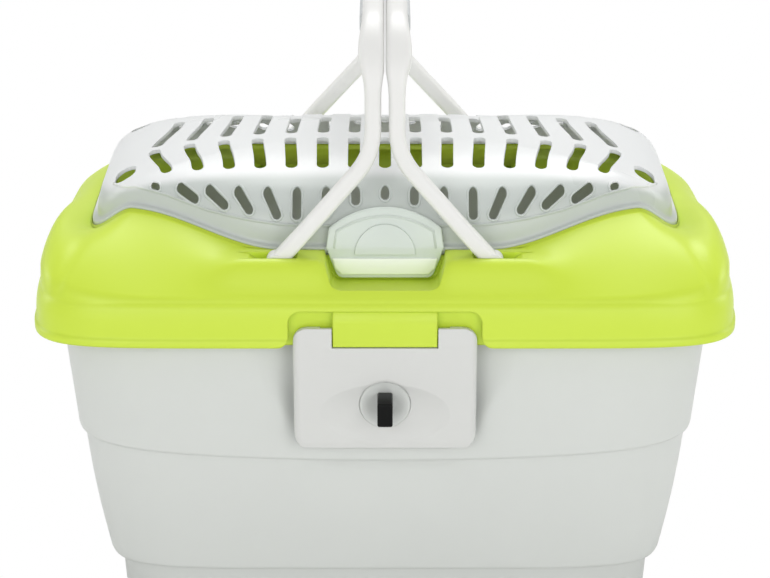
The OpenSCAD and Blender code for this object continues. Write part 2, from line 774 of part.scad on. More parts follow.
module upper_slots() {
    reach = (slot_count - 1) / 2;
    translate([0, 0, rim_z + 42]) linear_extrude(dome_top)
        for (i = [-reach:reach], span = [front_slots, ridge_slots, rear_slots])
            let (shift = span == front_slots ? 0.06 * i * i : 0, y0 = span[0] + shift, y1 = span[1] + shift)
            slot_2d([slot_x(i, y0), y0], [slot_x(i, y1), y1], slot_w);
    // A short vent at each corner of the dome
    for (sx = [-1, 1], y = [-43, 34])
        translate([0, 0, rim_z + 42]) linear_extrude(dome_top)
        slot_2d([sx * 0.87 * seat_a, y - 2.5], [sx * 0.87 * seat_a, y + 2.5], 1.8 * slot_w);
}

vent_high = seat_low + 22.4;

// Front vents: short at the middle and the ends, long between; the outer ones lean in at their foot
module vents(high) {
    reach = (vent_count - 1) / 2;
    lean = [0, 0, 0, 0, 4, 4.6, 6.4, 6, 1.6];
    run = [0.4, 2.2, 6.6, 7.4, 7.2, 5.6, 4.4, 3, 0.1];
    for (i = [-reach:reach])
        let (n = min(8, abs(i)), top = [i * (vent_pitch + (n == 8 ? 0 : 0.05)), high - 0.12 * n])
        slot_2d([top[0] - sign(i) * lean[n], top[1] - run[n]], top, n == 8 ? 0.7 * vent_w : vent_w);
}

module door() {
    color(milky)
    union() {
        difference() {
            door_shell();
            upper_slots();
            // Front and rear vents
            translate([0, -52, rim_z]) rotate([90, 0, 0]) linear_extrude(60) vents(vent_high - 1);
            translate([0, 110, rim_z]) rotate([90, 0, 0]) linear_extrude(50) vents(vent_high - 7);
        }
        // Hinge barrels and the arms that carry them
        left_and_right()
            difference() {
                union() {
                    translate([hinge_inner, hinge_y, hinge_z]) rotate([0, 90, 0])
                        cylinder(h = hinge_outer - hinge_inner, r = hinge_r, $fn = 40);
                    translate([hinge_inner, seat_b - 4.5, hinge_z - 2.4])
                        cube([hinge_outer - hinge_inner, hinge_y - seat_b + 4.5, 2.4 + hinge_r - 1]);
                }
                translate([0, hinge_y, hinge_z]) rotate([0, 90, 0])
                    cylinder(h = 60, d = hinge_pin_d + 2 * pin_gap, center = true, $fn = 40);
            }
    }
}

module door_hinge_pin() {
    color(steel)
    translate([0, hinge_y, hinge_z]) rotate([0, 90, 0])
        cylinder(h = 2 * hinge_pin_half, d = hinge_pin_d, center = true, $fn = 40);
}

catch_top = catch_foot + catch_h;
catch_bend = seat_low + 1.5;
catch_lean = 0.27;

// Side view of a plate on the catch that bends back above the door's flange
module catch_side(from, to, low, high) {
    rise = high - catch_bend;
    across(catch_w)
        polygon([[-catch_back - from, rim_z + low], [-catch_back - to, rim_z + low],
            [-catch_back - to, rim_z + catch_bend], [-catch_back - to + catch_lean * rise, rim_z + high],
            [-catch_back - from + catch_lean * rise, rim_z + high], [-catch_back - from, rim_z + catch_bend]]);
}

module catch_face() {
    translate([0, -catch_back + 20, rim_z]) rotate([90, 0, 0]) linear_extrude(40) children();
}

// The catch: an arched plate with a raised thumb button, hung in front of the door's flange
module door_catch() {
    half = catch_w / 2;
    button_r = 13;
    arch_r = 1.5 * half;
    color(milky)
    union() {
        intersection() {
            catch_side(0, catch_t, catch_foot, catch_top);
            catch_face()
                intersection() {
                    polygon([[-half + 5, catch_foot], [half - 5, catch_foot], [half - 3.4, catch_foot + 2],
                        [half, catch_bend], [half, catch_top + 1], [-half, catch_top + 1], [-half, catch_bend],
                        [-half + 3.4, catch_foot + 2]]);
                    translate([0, catch_top - arch_r]) circle(r = arch_r, $fn = 120);
                }
        }
        intersection() {
            catch_side(catch_t - 0.5, catch_t + 1, catch_foot + 1, catch_top - 2);
            catch_face()
                translate([0, catch_top - 19.5])
                difference() {
                    circle(r = button_r, $fn = 64);
                    translate([-button_r, -button_r]) square([2 * button_r, button_r]);
                }
        }
    }
}

// Handles

arm_lean = 0.1;
kink_h = 46;
inner_face = 0.25;
grip_x = inner_face + grip_w / 2;
grip_corner = 24;
kink_round = 11;
pad_sink = 1;
pad_z = grip_h + 0.5;

function unit(v) = v / norm(v);
function bezier(a, b, c, t) = (1 - t) * (1 - t) * a + 2 * t * (1 - t) * b + t * t * c;

foot_p = [-pivot_x, -pivot_y, pivot_h];
kink_p = [-grip_x, -pivot_y + arm_lean * kink_h, pivot_h + kink_h];
top_p = [-grip_x, -pivot_y + arm_lean * (grip_h - pivot_h), grip_h];
rise_p = foot_p + 17 * unit([kink_p[0] - foot_p[0], 0, kink_h]);
mid_p = [-grip_x, 0, grip_h + 1];

// Path from the front foot to the middle of the grip, each point with its section's width and depth
half_path = concat(
    [concat(foot_p, [arm_w, arm_d]), concat(rise_p, [arm_w, arm_d])],
    [for (t = [0:0.25:1]) concat(
        bezier(kink_p + kink_round * unit(rise_p - kink_p), kink_p, kink_p + kink_round * unit(top_p - kink_p), t),
        [arm_w, arm_d])],
    [concat(mix(kink_p, top_p, 0.6), [arm_w, arm_d])],
    [for (t = [0:0.2:1])
        let (b = bezier(top_p + grip_corner * unit(kink_p - top_p), top_p, top_p + grip_corner * unit(mid_p - top_p), t))
        let (w = t < 0.5 ? mix(arm_w + 1, corner_w, smooth(t / 0.4)) : mix(corner_w, grip_w, smooth((t - 0.5) / 0.5)))
        [-inner_face - w / 2, b[1], b[2], w, mix(arm_d + 1, grip_section_h, t)]],
    [concat(mix(top_p, mid_p, 0.5), [grip_w, grip_section_h])]);

function mirror_y(p) = [p[0], -p[1], p[2], p[3], p[4]];

full_path = concat(half_path, [concat(mid_p, [grip_w, grip_section_h])],
    [for (i = [len(half_path) - 1:-1:0]) mirror_y(half_path[i])]);

function at(p) = [p[0], p[1], p[2]];

section_sides = 16;

function section(i) =
    let (n = len(full_path), p = full_path[i])
    let (t = unit(at(full_path[min(i + 1, n - 1)]) - at(full_path[max(i - 1, 0)])))
    let (e1 = unit([1, 0, 0] - t[0] * t), e2 = cross(t, e1))
    [for (k = [0:section_sides - 1])
        let (a = 360 * (k + 0.5) / section_sides, q = [cos(a), sin(a)])
        let (s = pow(pow(abs(q[0]), 4) + pow(abs(q[1]), 4), -0.25) / 2)
        at(p) + e1 * q[0] * s * p[3] + e2 * q[1] * s * p[4]];

module handle() {
    color(handle_grey)
    translate([0, 0, rim_z])
    difference() {
        union() {
            capped_loft([for (i = [0:len(full_path) - 1]) section(i)],
                at(full_path[0]), at(full_path[len(full_path) - 1]));
            for (side = [-1, 1]) {
                translate([-pivot_x, side * pivot_y, pivot_h]) rotate([90, 0, 0])
                    cylinder(h = arm_d, r = foot_r, center = true, $fn = 48);
                translate([-pivot_x, side * pivot_y, pivot_h]) rotate([90, 0, 0])
                    cylinder(h = 2 * stub_half, d = stub_d, center = true, $fn = 48);
            }
        }
        // Seat of the soft pad
        translate([-grip_x - grip_w / 2 - 5 + pad_sink, -pad_l / 2, pad_z - pad_h / 2])
            cube([5, pad_l, pad_h]);
    }
}

module handle_left() { handle(); }
module handle_right() { mirror([1, 0, 0]) handle(); }

// A soft pad with upright ribs on the outer side of the grip
module grip_pad() {
    rib_pitch = 4;
    rib_r = 1.1;
    ribs = floor(pad_l / rib_pitch) - 1;
    face = grip_x + grip_w / 2;
    fit = 0.1;
    color("#c8cccd")
    translate([0, 0, rim_z + pad_z]) {
        translate([-face, -pad_l / 2 + fit, -pad_h / 2 + fit])
            cube([pad_sink, pad_l - 2 * fit, pad_h - 2 * fit]);
        for (i = [0:ribs - 1])
            translate([-face + pad_sink - rib_r - fit, (i - (ribs - 1) / 2) * rib_pitch, -pad_h / 2 + 0.8])
            cylinder(h = pad_h - 1.6, r = rib_r, $fn = 24);
    }
}

module grip_pad_left() { grip_pad(); }
module grip_pad_right() { mirror([1, 0, 0]) grip_pad(); }

tub();
lid();
door();
door_catch();
door_hinge_pin();
handle_left();
handle_right();
grip_pad_left();
grip_pad_right();
latch_front();
latch_rear();
latch_pin_front();
latch_pin_rear();
perch();
perch_washer_front();
perch_washer_rear();
perch_screw_front();
perch_screw_rear();
perch_knob_front();
perch_knob_rear();
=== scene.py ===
# A small bird carrier: stepped tub, lime lid, slotted dome door, two bails and two latches

import math

import bmesh
import bpy
import numpy as np
from mathutils import Matrix, Vector
from mathutils.bvhtree import BVHTree


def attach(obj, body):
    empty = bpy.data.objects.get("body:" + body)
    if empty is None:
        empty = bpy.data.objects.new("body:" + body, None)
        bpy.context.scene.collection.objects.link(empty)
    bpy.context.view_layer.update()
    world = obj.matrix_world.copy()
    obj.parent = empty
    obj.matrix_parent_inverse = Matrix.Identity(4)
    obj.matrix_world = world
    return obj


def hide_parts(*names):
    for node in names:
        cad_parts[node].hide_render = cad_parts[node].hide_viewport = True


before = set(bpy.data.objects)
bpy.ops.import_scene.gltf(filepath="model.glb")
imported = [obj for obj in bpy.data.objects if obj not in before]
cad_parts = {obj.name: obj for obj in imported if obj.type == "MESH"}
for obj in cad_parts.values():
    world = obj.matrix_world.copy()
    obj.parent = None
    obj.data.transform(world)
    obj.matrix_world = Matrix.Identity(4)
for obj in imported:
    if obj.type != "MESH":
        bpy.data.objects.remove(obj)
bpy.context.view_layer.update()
print("frame loaded")

mm = 0.001
rimZ = 140.0

# Numbers and outlines, in millimetres


def mix(a, b, t):
    return a + (b - a) * t


def smooth(t):
    c = np.clip(t, 0.0, 1.0)
    return c * c * (3 - 2 * c)


def sideSteps(count):
    t = np.arange(count) / count
    return 0.5 * (2 * t - 1) + 0.5 * np.sin(np.radians(-90 + 180 * t))


def makeRing(longSteps, shortSteps):
    along, across = sideSteps(longSteps), sideSteps(shortSteps)
    one, two = np.ones(longSteps), np.ones(shortSteps)
    return np.concatenate([
        np.stack([along, -one], 1), np.stack([two, across], 1),
        np.stack([-along, one], 1), np.stack([-two, -across], 1)])


ring = makeRing(150, 90)


def squircle(p, n):
    return (np.abs(p[:, 0]) ** n + np.abs(p[:, 1]) ** n) ** (-1 / n)


def plan(p, a, b, n):
    k = squircle(p, n)
    return np.stack([a * p[:, 0] * k, b * p[:, 1] * k], 1)


def lift(q, z):
    return np.column_stack([q, np.broadcast_to(z, len(q))])


# Meshes and objects


def addObject(name, verts, faces, material, shadeSmooth=True):
    mesh = bpy.data.meshes.new(name)
    mesh.from_pydata((np.asarray(verts, float) * mm).tolist(), [], [tuple(f) for f in faces])
    fresh = bmesh.new()
    fresh.from_mesh(mesh)
    bmesh.ops.recalc_face_normals(fresh, faces=fresh.faces)
    fresh.to_mesh(mesh)
    fresh.free()
    mesh.polygons.foreach_set("use_smooth", [shadeSmooth] * len(mesh.polygons))
    obj = bpy.data.objects.new(name, mesh)
    bpy.context.scene.collection.objects.link(obj)
    if material:
        mesh.materials.append(material)
    return obj


def loftFaces(rings, n, closed):
    faces = []
    for i in range(rings if closed else rings - 1):
        low, high = i * n, ((i + 1) % rings) * n
        for j in range(n):
            k = (j + 1) % n
            faces.append((low + j, low + k, high + k, high + j))
    return faces


def loft(name, rings, material, closed=False, centres=None):
    n = len(rings[0])
    verts = np.concatenate(rings)
    faces = loftFaces(len(rings), n, closed)
    if centres is not None:
        first, last = len(verts), len(verts) + 1
        verts = np.concatenate([verts, np.array(centres, float)])
        top = (len(rings) - 1) * n
        faces += [(first, (j + 1) % n, j) for j in range(n)]
        faces += [(last, top + j, top + (j + 1) % n) for j in range(n)]
    elif not closed:
        faces += [tuple(range(n))[::-1], tuple(range(len(verts) - n, len(verts)))]
    return addObject(name, verts, faces, material)


# Points of an arc about (u, v), at angles in degrees
def arcPoints(u, v, r, angles):
    return [(u + r * math.cos(math.radians(a)), v + r * math.sin(math.radians(a))) for a in angles]


# Verts and faces of an outline pushed from low to high; place maps (u, v, w) to x, y, z
def prism(outline, low, high, place):
    n = len(outline)
    verts = [place(u, v, low) for u, v in outline] + [place(u, v, high) for u, v in outline]
    faces = [tuple(range(n))[::-1], tuple(range(n, 2 * n))]
    faces += [(j, (j + 1) % n, n + (j + 1) % n, n + j) for j in range(n)]
    return verts, faces


def bevelled(obj, width, segments=3, angle=35):
    mod = obj.modifiers.new("soft edges", "BEVEL")
    mod.width = width * mm
    mod.segments = segments
    mod.limit_method = "ANGLE"
    mod.angle_limit = math.radians(angle)
    mod.harden_normals = False
    return bake(obj, angle)


def bake(obj, angle=None):
    graph = bpy.context.evaluated_depsgraph_get()
    mesh = bpy.data.meshes.new_from_object(obj.evaluated_get(graph))
    obj.modifiers.clear()
    old = obj.data
    obj.data = mesh
    bpy.data.meshes.remove(old)
    if angle:
        mesh.set_sharp_from_angle(angle=math.radians(angle))
    return obj


# One object from (verts, faces) parts that don't touch each other
def joined(name, parts, material=None):
    verts, faces, base = [], [], 0
    for v, f in parts:
        verts += [tuple(p) for p in v]
        faces += [tuple(base + i for i in face) for face in f]
        base += len(v)
    return addObject(name, verts, faces, material)


# Cuts parts out of a smooth shell and keeps the shell's own normals where it is uncut
def carve(obj, parts, operation="DIFFERENCE"):
    cutter = joined("cutter", parts)
    mod = obj.modifiers.new("carve", "BOOLEAN")
    mod.operation = operation
    mod.solver = "MANIFOLD"
    mod.object = cutter
    graph = bpy.context.evaluated_depsgraph_get()
    mesh = bpy.data.meshes.new_from_object(obj.evaluated_get(graph))
    obj.modifiers.clear()
    base = obj.data
    keepNormals(mesh, base)
    obj.data = mesh
    bpy.data.objects.remove(cutter)
    bpy.data.meshes.remove(base)
    return obj


def keepNormals(mesh, base):
    points = [v.co.copy() for v in base.vertices]
    corners = [tuple(p.vertices) for p in base.polygons]
    tree = BVHTree.FromPolygons(points, corners)
    normals = [v.normal.copy() for v in base.vertices]
    found = []
    for v in mesh.vertices:
        place, _, index, far = tree.find_nearest(v.co)
        if far > 2e-6:
            found.append(None)
            continue
        total = Vector((0, 0, 0))
        for c in corners[index]:
            total += normals[c] / max((points[c] - place).length, 1e-7)
        found.append(total.normalized())
    out = []
    for poly in mesh.polygons:
        own = poly.normal
        for v in poly.vertices:
            n = found[v]
            out.append(n if n is not None and n.dot(own) > 0.75 else own)
    mesh.polygons.foreach_set("use_smooth", [True] * len(mesh.polygons))
    mesh.normals_split_custom_set([tuple(n) for n in out])


def surfaceTree(obj):
    points = [v.co.copy() for v in obj.data.vertices]
    return BVHTree.FromPolygons(points, [tuple(p.vertices) for p in obj.data.polygons])


# (verts, faces) of closed tubes round closed paths of points in millimetres
def tubeAlong(paths, radius, sides=8):
    parts = []
    for path in paths:
        pts = np.asarray(path, float)
        n = len(pts)
        ahead = np.roll(pts, -1, 0) - np.roll(pts, 1, 0)
        ahead /= np.linalg.norm(ahead, axis=1)[:, None]
        centre = pts.mean(0)
        normal = np.cross(pts[0] - centre, pts[n // 4] - centre)
        normal /= np.linalg.norm(normal)
        out = np.cross(ahead, normal)
        out /= np.linalg.norm(out, axis=1)[:, None]
        up = np.cross(out, ahead)
        verts = []
        for k in range(sides):
            a = 2 * math.pi * k / sides
            verts.append(pts + radius * (math.cos(a) * out + math.sin(a) * up))
        verts = np.stack(verts, 1).reshape(-1, 3)
        faces = []
        for i in range(n):
            for k in range(sides):
                m = (k + 1) % sides
                j = (i + 1) % n
                faces.append((i * sides + k, j * sides + k, j * sides + m, i * sides + m))
        parts.append((verts, faces))
    return parts


def cylinder(a, b, radius, sides=48, radiusEnd=None):
    a, b = np.array(a, float), np.array(b, float)
    axis = (b - a) / np.linalg.norm(b - a)
    other = np.array([1, 0, 0]) if abs(axis[0]) < 0.9 else np.array([0, 1, 0])
    u = np.cross(axis, other)
    u /= np.linalg.norm(u)
    w = np.cross(axis, u)
    end = radius if radiusEnd is None else radiusEnd
    turns = np.arange(sides) * 2 * math.pi / sides
    low = a + radius * (np.cos(turns)[:, None] * u + np.sin(turns)[:, None] * w)
    high = b + end * (np.cos(turns)[:, None] * u + np.sin(turns)[:, None] * w)
    faces = [tuple(range(sides))[::-1], tuple(range(sides, 2 * sides))]
    faces += [(j, (j + 1) % sides, sides + (j + 1) % sides, sides + j) for j in range(sides)]
    return np.concatenate([low, high]).tolist(), faces


# Turns (radius, depth) points about an axis along Y; depth grows towards the front
def lathe(profile, centre, sides=72):
    rings = []
    turns = np.arange(sides) * 2 * math.pi / sides
    for r, d in profile:
        rings.append(np.column_stack([centre[0] + r * np.cos(turns), np.full(sides, centre[1] - d),
                                      centre[2] + r * np.sin(turns)]))
    return rings


# The same points on the other side, turned half a turn about Z
def turned(points):
    p = np.asarray(points, float).copy()
    p[..., 0] *= -1
    p[..., 1] *= -1
    return p


# Materials


def srgb(r, g, b):
    def linear(c):
        c /= 255
        return c / 12.92 if c <= 0.04045 else ((c + 0.055) / 1.055) ** 2.4
    return (linear(r), linear(g), linear(b), 1.0)


# Sets a node's inputs to numbers, colours or the sockets that feed them
def feed(tree, node, given):
    for name, value in given.items():
        if isinstance(value, bpy.types.NodeSocket):
            tree.links.new(value, node.inputs[name])
        else:
            node.inputs[name].default_value = value
    return node


def addNode(tree, kind, given, **settings):
    node = tree.nodes.new(kind)
    for name, value in settings.items():
        setattr(node, name, value)
    return feed(tree, node, given)


def newMaterial(name):
    material = bpy.data.materials.new(name)
    material.use_nodes = True
    return material, material.node_tree, material.node_tree.nodes["Principled BSDF"]


def objectPlace(tree):
    return tree.nodes.new("ShaderNodeTexCoord").outputs["Object"]


# Rounded edges with fine moulding grain, and a mask for slight changes of gloss
def grainGroup():
    group = bpy.data.node_groups.new("mouldedSurface", "ShaderNodeTree")
    group.interface.new_socket("Edge", in_out="INPUT", socket_type="NodeSocketFloat")
    group.interface.new_socket("Normal", in_out="OUTPUT", socket_type="NodeSocketVector")
    group.interface.new_socket("Mask", in_out="OUTPUT", socket_type="NodeSocketFloat")
    given = group.nodes.new("NodeGroupInput").outputs
    place = objectPlace(group)
    fine = addNode(group, "ShaderNodeTexNoise", {"Vector": place, "Scale": 900, "Detail": 4})
    wide = addNode(group, "ShaderNodeTexNoise", {"Vector": place, "Scale": 14, "Detail": 3})
    edge = addNode(group, "ShaderNodeBevel", {"Radius": given["Edge"]}, samples=6)
    bump = addNode(group, "ShaderNodeBump", {
        "Strength": 0.12, "Distance": 0.0002, "Height": fine.outputs["Fac"], "Normal": edge.outputs["Normal"]})
    addNode(group, "NodeGroupOutput", {"Normal": bump.outputs["Normal"], "Mask": wide.outputs["Fac"]})
    return group


moulded = grainGroup()


# 1 on the upright front of the door, 0 on its top; it places the door's painted shade
def frontMaskGroup():
    group = bpy.data.node_groups.new("frontFace", "ShaderNodeTree")
    group.interface.new_socket("Mask", in_out="OUTPUT", socket_type="NodeSocketFloat")
    parts = addNode(group, "ShaderNodeSeparateXYZ", {"Vector": objectPlace(group)}).outputs
    across = addNode(group, "ShaderNodeMath", {0: parts["X"]}, operation="ABSOLUTE").outputs[0]
    share = addNode(group, "ShaderNodeMath", {0: across, 1: 0.13}, operation="DIVIDE").outputs[0]
    bend = addNode(group, "ShaderNodeMath", {0: share, 1: 4}, operation="POWER").outputs[0]
    # The line drops towards the ends
    line = addNode(group, "ShaderNodeMath", {0: bend, 1: 0.016, 2: parts["Z"]}, operation="MULTIPLY_ADD")
    low = addNode(group, "ShaderNodeMapRange", {
        "Value": line.outputs[0], "From Min": 0.2025, "From Max": 0.1995}, interpolation_type="SMOOTHSTEP")
    front = addNode(group, "ShaderNodeMapRange", {
        "Value": parts["Y"], "From Min": -0.02, "From Max": -0.045}, interpolation_type="SMOOTHSTEP")
    both = addNode(group, "ShaderNodeMath", {0: low.outputs["Result"], 1: front.outputs["Result"]},
                   operation="MULTIPLY")
    addNode(group, "NodeGroupOutput", {"Mask": both.outputs[0]})
    return group


# A moulded plastic whose colour and gloss change a little over its surface
def plastic(name, colour, shade, rough, edge=0.0006, shine=0.5, soft=0.0):
    material, tree, shader = newMaterial(name)
    surface = addNode(tree, "ShaderNodeGroup", {}, node_tree=moulded)
    surface = feed(tree, surface, {"Edge": edge}).outputs
    tint = addNode(tree, "ShaderNodeMix", {"Factor": surface["Mask"], "A": colour, "B": shade}, data_type="RGBA")
    gloss = addNode(tree, "ShaderNodeMapRange", {
        "Value": surface["Mask"], "From Min": 0.3, "From Max": 0.7, "To Min": rough - 0.04, "To Max": rough + 0.04})
    feed(tree, shader, {"Base Color": tint.outputs["Result"], "Roughness": gloss.outputs["Result"],
                        "Normal": surface["Normal"], "Specular IOR Level": shine})
    if soft > 0:
        through = addNode(tree, "ShaderNodeBsdfTranslucent", {"Color": colour, "Normal": surface["Normal"]})
        blend = addNode(tree, "ShaderNodeMixShader", {
            "Fac": soft, 1: shader.outputs["BSDF"], 2: through.outputs["BSDF"]})
        feed(tree, tree.nodes["Material Output"], {"Surface": blend.outputs["Shader"]})
    return material


lime = plastic("limePlastic", srgb(208, 231, 70), srgb(204, 228, 62), 0.4, shine=0.55, edge=0.0012, soft=0.08)
paleTub = plastic("tubPlastic", srgb(219, 222, 218), srgb(215, 218, 214), 0.42, shine=0.4, soft=0.1)
milky = plastic("milkyPlastic", srgb(249, 250, 250), srgb(246, 248, 248), 0.3, soft=0.22)
catchGrey = plastic("catchPlastic", srgb(216, 224, 218), srgb(212, 221, 214), 0.34, soft=0.08)
# Painted light: the catch's bar is coloured near white, lighter than the catch plate, so that it looks lit although
# it tilts down from the lamps
barLitWhite = plastic("catchBarLit", srgb(244, 248, 240), srgb(240, 245, 236), 0.3)


# Painted shade: the door's upright front is coloured greyer than its top, standing in for the dark cabin seen
# through the plastic and the weaker light on the upright face
def shadeDoorFront(material, colour):
    tree = material.node_tree
    shader = tree.nodes["Principled BSDF"]
    mask = addNode(tree, "ShaderNodeGroup", {}, node_tree=frontMaskGroup())
    old = shader.inputs["Base Color"].links[0].from_socket
    tint = addNode(tree, "ShaderNodeMix", {"Factor": mask.outputs["Mask"], "A": old, "B": colour}, data_type="RGBA")
    through = [n for n in tree.nodes if n.bl_idname == "ShaderNodeBsdfTranslucent"][0]
    feed(tree, shader, {"Base Color": tint.outputs["Result"]})
    feed(tree, through, {"Color": tint.outputs["Result"]})


# Painted shade on the door's upright front
shadeDoorFront(milky, srgb(212, 218, 214))
handleGrey = plastic("handlePlastic", srgb(229, 229, 226), srgb(224, 224, 222), 0.38)
# Painted shade: the latch plastic is a darker copy of the handle grey, standing in for the shade the latch plates
# sit in
latchShadedGrey = plastic("latchPlasticShaded", srgb(211, 212, 209), srgb(207, 208, 205), 0.36, shine=0.4)
gripGrey = plastic("gripRubber", srgb(200, 203, 204), srgb(190, 194, 195), 0.6, edge=0.0003)
black = plastic("blackPlastic", srgb(8, 9, 8), srgb(12, 13, 12), 0.3, edge=0.0004, shine=0.14)


def woodMaterial():
    material, tree, shader = newMaterial("perchWood")
    stretch = addNode(tree, "ShaderNodeMapping", {"Vector": objectPlace(tree), "Scale": (120, 6, 120)})
    grain = addNode(tree, "ShaderNodeTexNoise", {"Vector": stretch.outputs["Vector"], "Scale": 3, "Detail": 6})
    ramp = addNode(tree, "ShaderNodeValToRGB", {"Fac": grain.outputs["Fac"]})
    for stop, place, colour in zip(ramp.color_ramp.elements, (0.35, 0.7), (srgb(168, 124, 78), srgb(206, 168, 118))):
        stop.position = place
        stop.color = colour
    feed(tree, shader, {"Base Color": ramp.outputs["Color"], "Roughness": 0.6})
    return material


def steelMaterial():
    material, tree, shader = newMaterial("pinSteel")
    noise = addNode(tree, "ShaderNodeTexNoise", {"Vector": objectPlace(tree), "Scale": 700})
    spread = addNode(tree, "ShaderNodeMapRange", {"Value": noise.outputs["Fac"], "To Min": 0.25, "To Max": 0.42})
    feed(tree, shader, {"Base Color": srgb(188, 190, 194), "Metallic": 1, "Roughness": spread.outputs["Result"]})
    return material


perchWood = woodMaterial()
pinSteel = steelMaterial()
print("materials made")

# Tub

tub = {"a": 142.0, "b": 107.0, "n": 7.0, "wall": 2.6, "lip": 8.0, "ledgeZ": 83.0, "arch": 7.0,
       "upperLean": 5.0, "step": 2.4, "lowerLean": 9.0, "plinthH": 25.0, "plinthStep": 5.0}
insetLedge = tub["upperLean"]
insetBelow = insetLedge + tub["step"]
insetFoot = insetBelow + tub["lowerLean"]
insetPlinth = insetFoot + tub["plinthStep"]


def tubRing(inset, z, arch=0.0, scoops=True):
    q = plan(ring, tub["a"] - inset, tub["b"] - inset, tub["n"])
    zs = z + arch * (np.abs(q[:, 0]) / tub["a"]) ** 2
    out = lift(q, zs)
    if scoops:
        out[:, 1] -= np.sign(out[:, 1]) * scoopDepth(out[:, 0], rimZ - zs, np.abs(out[:, 1]))
    return out


# How far the wall is hollowed beside and below a latch plate
def scoopDepth(x, down, y):
    ax = np.abs(x)
    edge = mix(60.0, 41.0, smooth(down / 46))
    side = smooth((ax - 30) / 8) * (1 - smooth((ax - 38) / (edge - 38)))
    side *= 4.2 * (1 - smooth((down - 26) / 22))
    under = smooth((40 - ax) / 16) * smooth((down - 58) / 3) * (1 - smooth((down - 62) / 22))
    return np.where(y > 80, side + 1.5 * under, 0.0)


def tubRings():
    outer = []
    for t in (0.0, 0.3, 0.6, 1.0):
        turn = math.radians(90 * t)
        outer.append(tubRing(insetPlinth + 1.5 + 2 * (1 - math.sin(turn)), 2 * (1 - math.cos(turn))))
    outer.append(tubRing(insetPlinth, tub["plinthH"] - 0.6))
    outer.append(tubRing(insetPlinth - 0.5, tub["plinthH"] + 0.2))
    outer.append(tubRing(insetFoot + 1.6, tub["plinthH"] + 0.5))
    outer.append(tubRing(insetFoot + 0.5, tub["plinthH"] + 1.1))
    outer.append(tubRing(insetFoot, tub["plinthH"] + 2.4))
    low, high = tub["plinthH"] + 2.4, tub["ledgeZ"] - 0.9
    for i in range(1, 20):
        t = i / 20
        inset = mix(insetFoot, insetBelow, t) - 0.8 * math.sin(math.pi * t)
        outer.append(tubRing(inset, mix(low, high, t), tub["arch"] * t))
    outer.append(tubRing(insetBelow, high, tub["arch"]))
    outer.append(tubRing(insetBelow - 0.2, high + 0.5, tub["arch"]))
    outer.append(tubRing(insetLedge + 0.8, tub["ledgeZ"], tub["arch"]))
    outer.append(tubRing(insetLedge + 0.15, tub["ledgeZ"] + 0.6, tub["arch"]))
    steps = 26
    for i in range(steps + 1):
        t = i / steps
        outer.append(tubRing(mix(insetLedge, 0, t), mix(tub["ledgeZ"] + 1.5, rimZ, t), tub["arch"] * (1 - t)))
    outer.append(tubRing(0, rimZ + tub["lip"] - 0.6, scoops=False))
    outer.append(tubRing(0.6, rimZ + tub["lip"], scoops=False))
    wall = tub["wall"]
    inner = [
        tubRing(wall - 0.5, rimZ + tub["lip"]),
        tubRing(wall, rimZ + tub["lip"] - 0.5),
        tubRing(wall, rimZ)]
    for i in range(1, 13):
        t = i / 12
        inner.append(tubRing(mix(wall, insetLedge + wall, t), mix(rimZ, tub["ledgeZ"] + 1.5, t), tub["arch"] * t))
    inner += [
        tubRing(insetBelow + wall, tub["ledgeZ"] - 1.5, tub["arch"]),
        tubRing(insetFoot + wall, tub["plinthH"] + 2 + wall),
        tubRing(insetPlinth + wall, tub["plinthH"] - 1),
        tubRing(insetPlinth + 1.5 + wall, 6),
        tubRing(insetPlinth + 4.5 + wall, 3)]
    return outer + inner


tubShell = loft("tub_shell", tubRings(), paleTub, centres=[(0, 0, 0), (0, 0, 3)])

# Values shared by the latches, the perch and the tub's bosses
latchTop, latchZ, latchAxisY = 115.2, 95.0, 107.35
latchBottomY = latchAxisY + 3.1 + 0.3 + 0.9
perchZ = rimZ - 27.0


def wallY(z):
    return tub["b"] - tub["upperLean"] * min(1.0, max(0.0, (rimZ - z) / (rimZ - tub["ledgeZ"] - 1.5)))


def latchFace(z):
    return mix(latchBottomY, latchTop, np.clip((z - latchZ) / (rimZ - latchZ), 0, 1))


bossFace = float(latchFace(perchZ)) - 3.0 + 1.0
knobRoot = bossFace - 1.2
holes = [cylinder((0, s * (wallY(perchZ) - 8), perchZ), (0, s * (wallY(perchZ) + 6), perchZ), 3.05) for s in (-1, 1)]
carve(tubShell, holes)
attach(tubShell, "tub_body")
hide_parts("tub")


def bossRings():
    back = bossFace - wallY(perchZ) + 1.2
    profile = [(3.05, -back), (13.0, -back), (13.0, -1.6), (12.7, -1.35), (10.88, -1.35), (10.88, -0.6),
               (10.7, -0.4), (10.4, -0.3), (10.0, -0.27), (9.2, -0.35), (8.0, -0.65), (6.6, -1.1),
               (5.4, -1.4), (4.6, -1.5), (3.05, -1.5)]
    return lathe(profile, (0, -bossFace, perchZ))


for side in ("front", "rear"):
    rings = bossRings()
    innerFace = wallY(perchZ) - 2.6 - 3
    inner = lathe([(3.05, 0), (9.6, 0), (10, 0.4), (10, 4.2), (3.05, 4.2)], (0, -innerFace, perchZ))
    if side == "rear":
        rings = [turned(r) for r in rings]
        inner = [turned(r) for r in inner]
    for name, some in (("tub_boss_" + side, rings), ("tub_inner_boss_" + side, inner)):
        boss = loft(name, some, paleTub, closed=True)
        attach(boss, "tub_body")
        boss.data.set_sharp_from_angle(angle=math.radians(40))

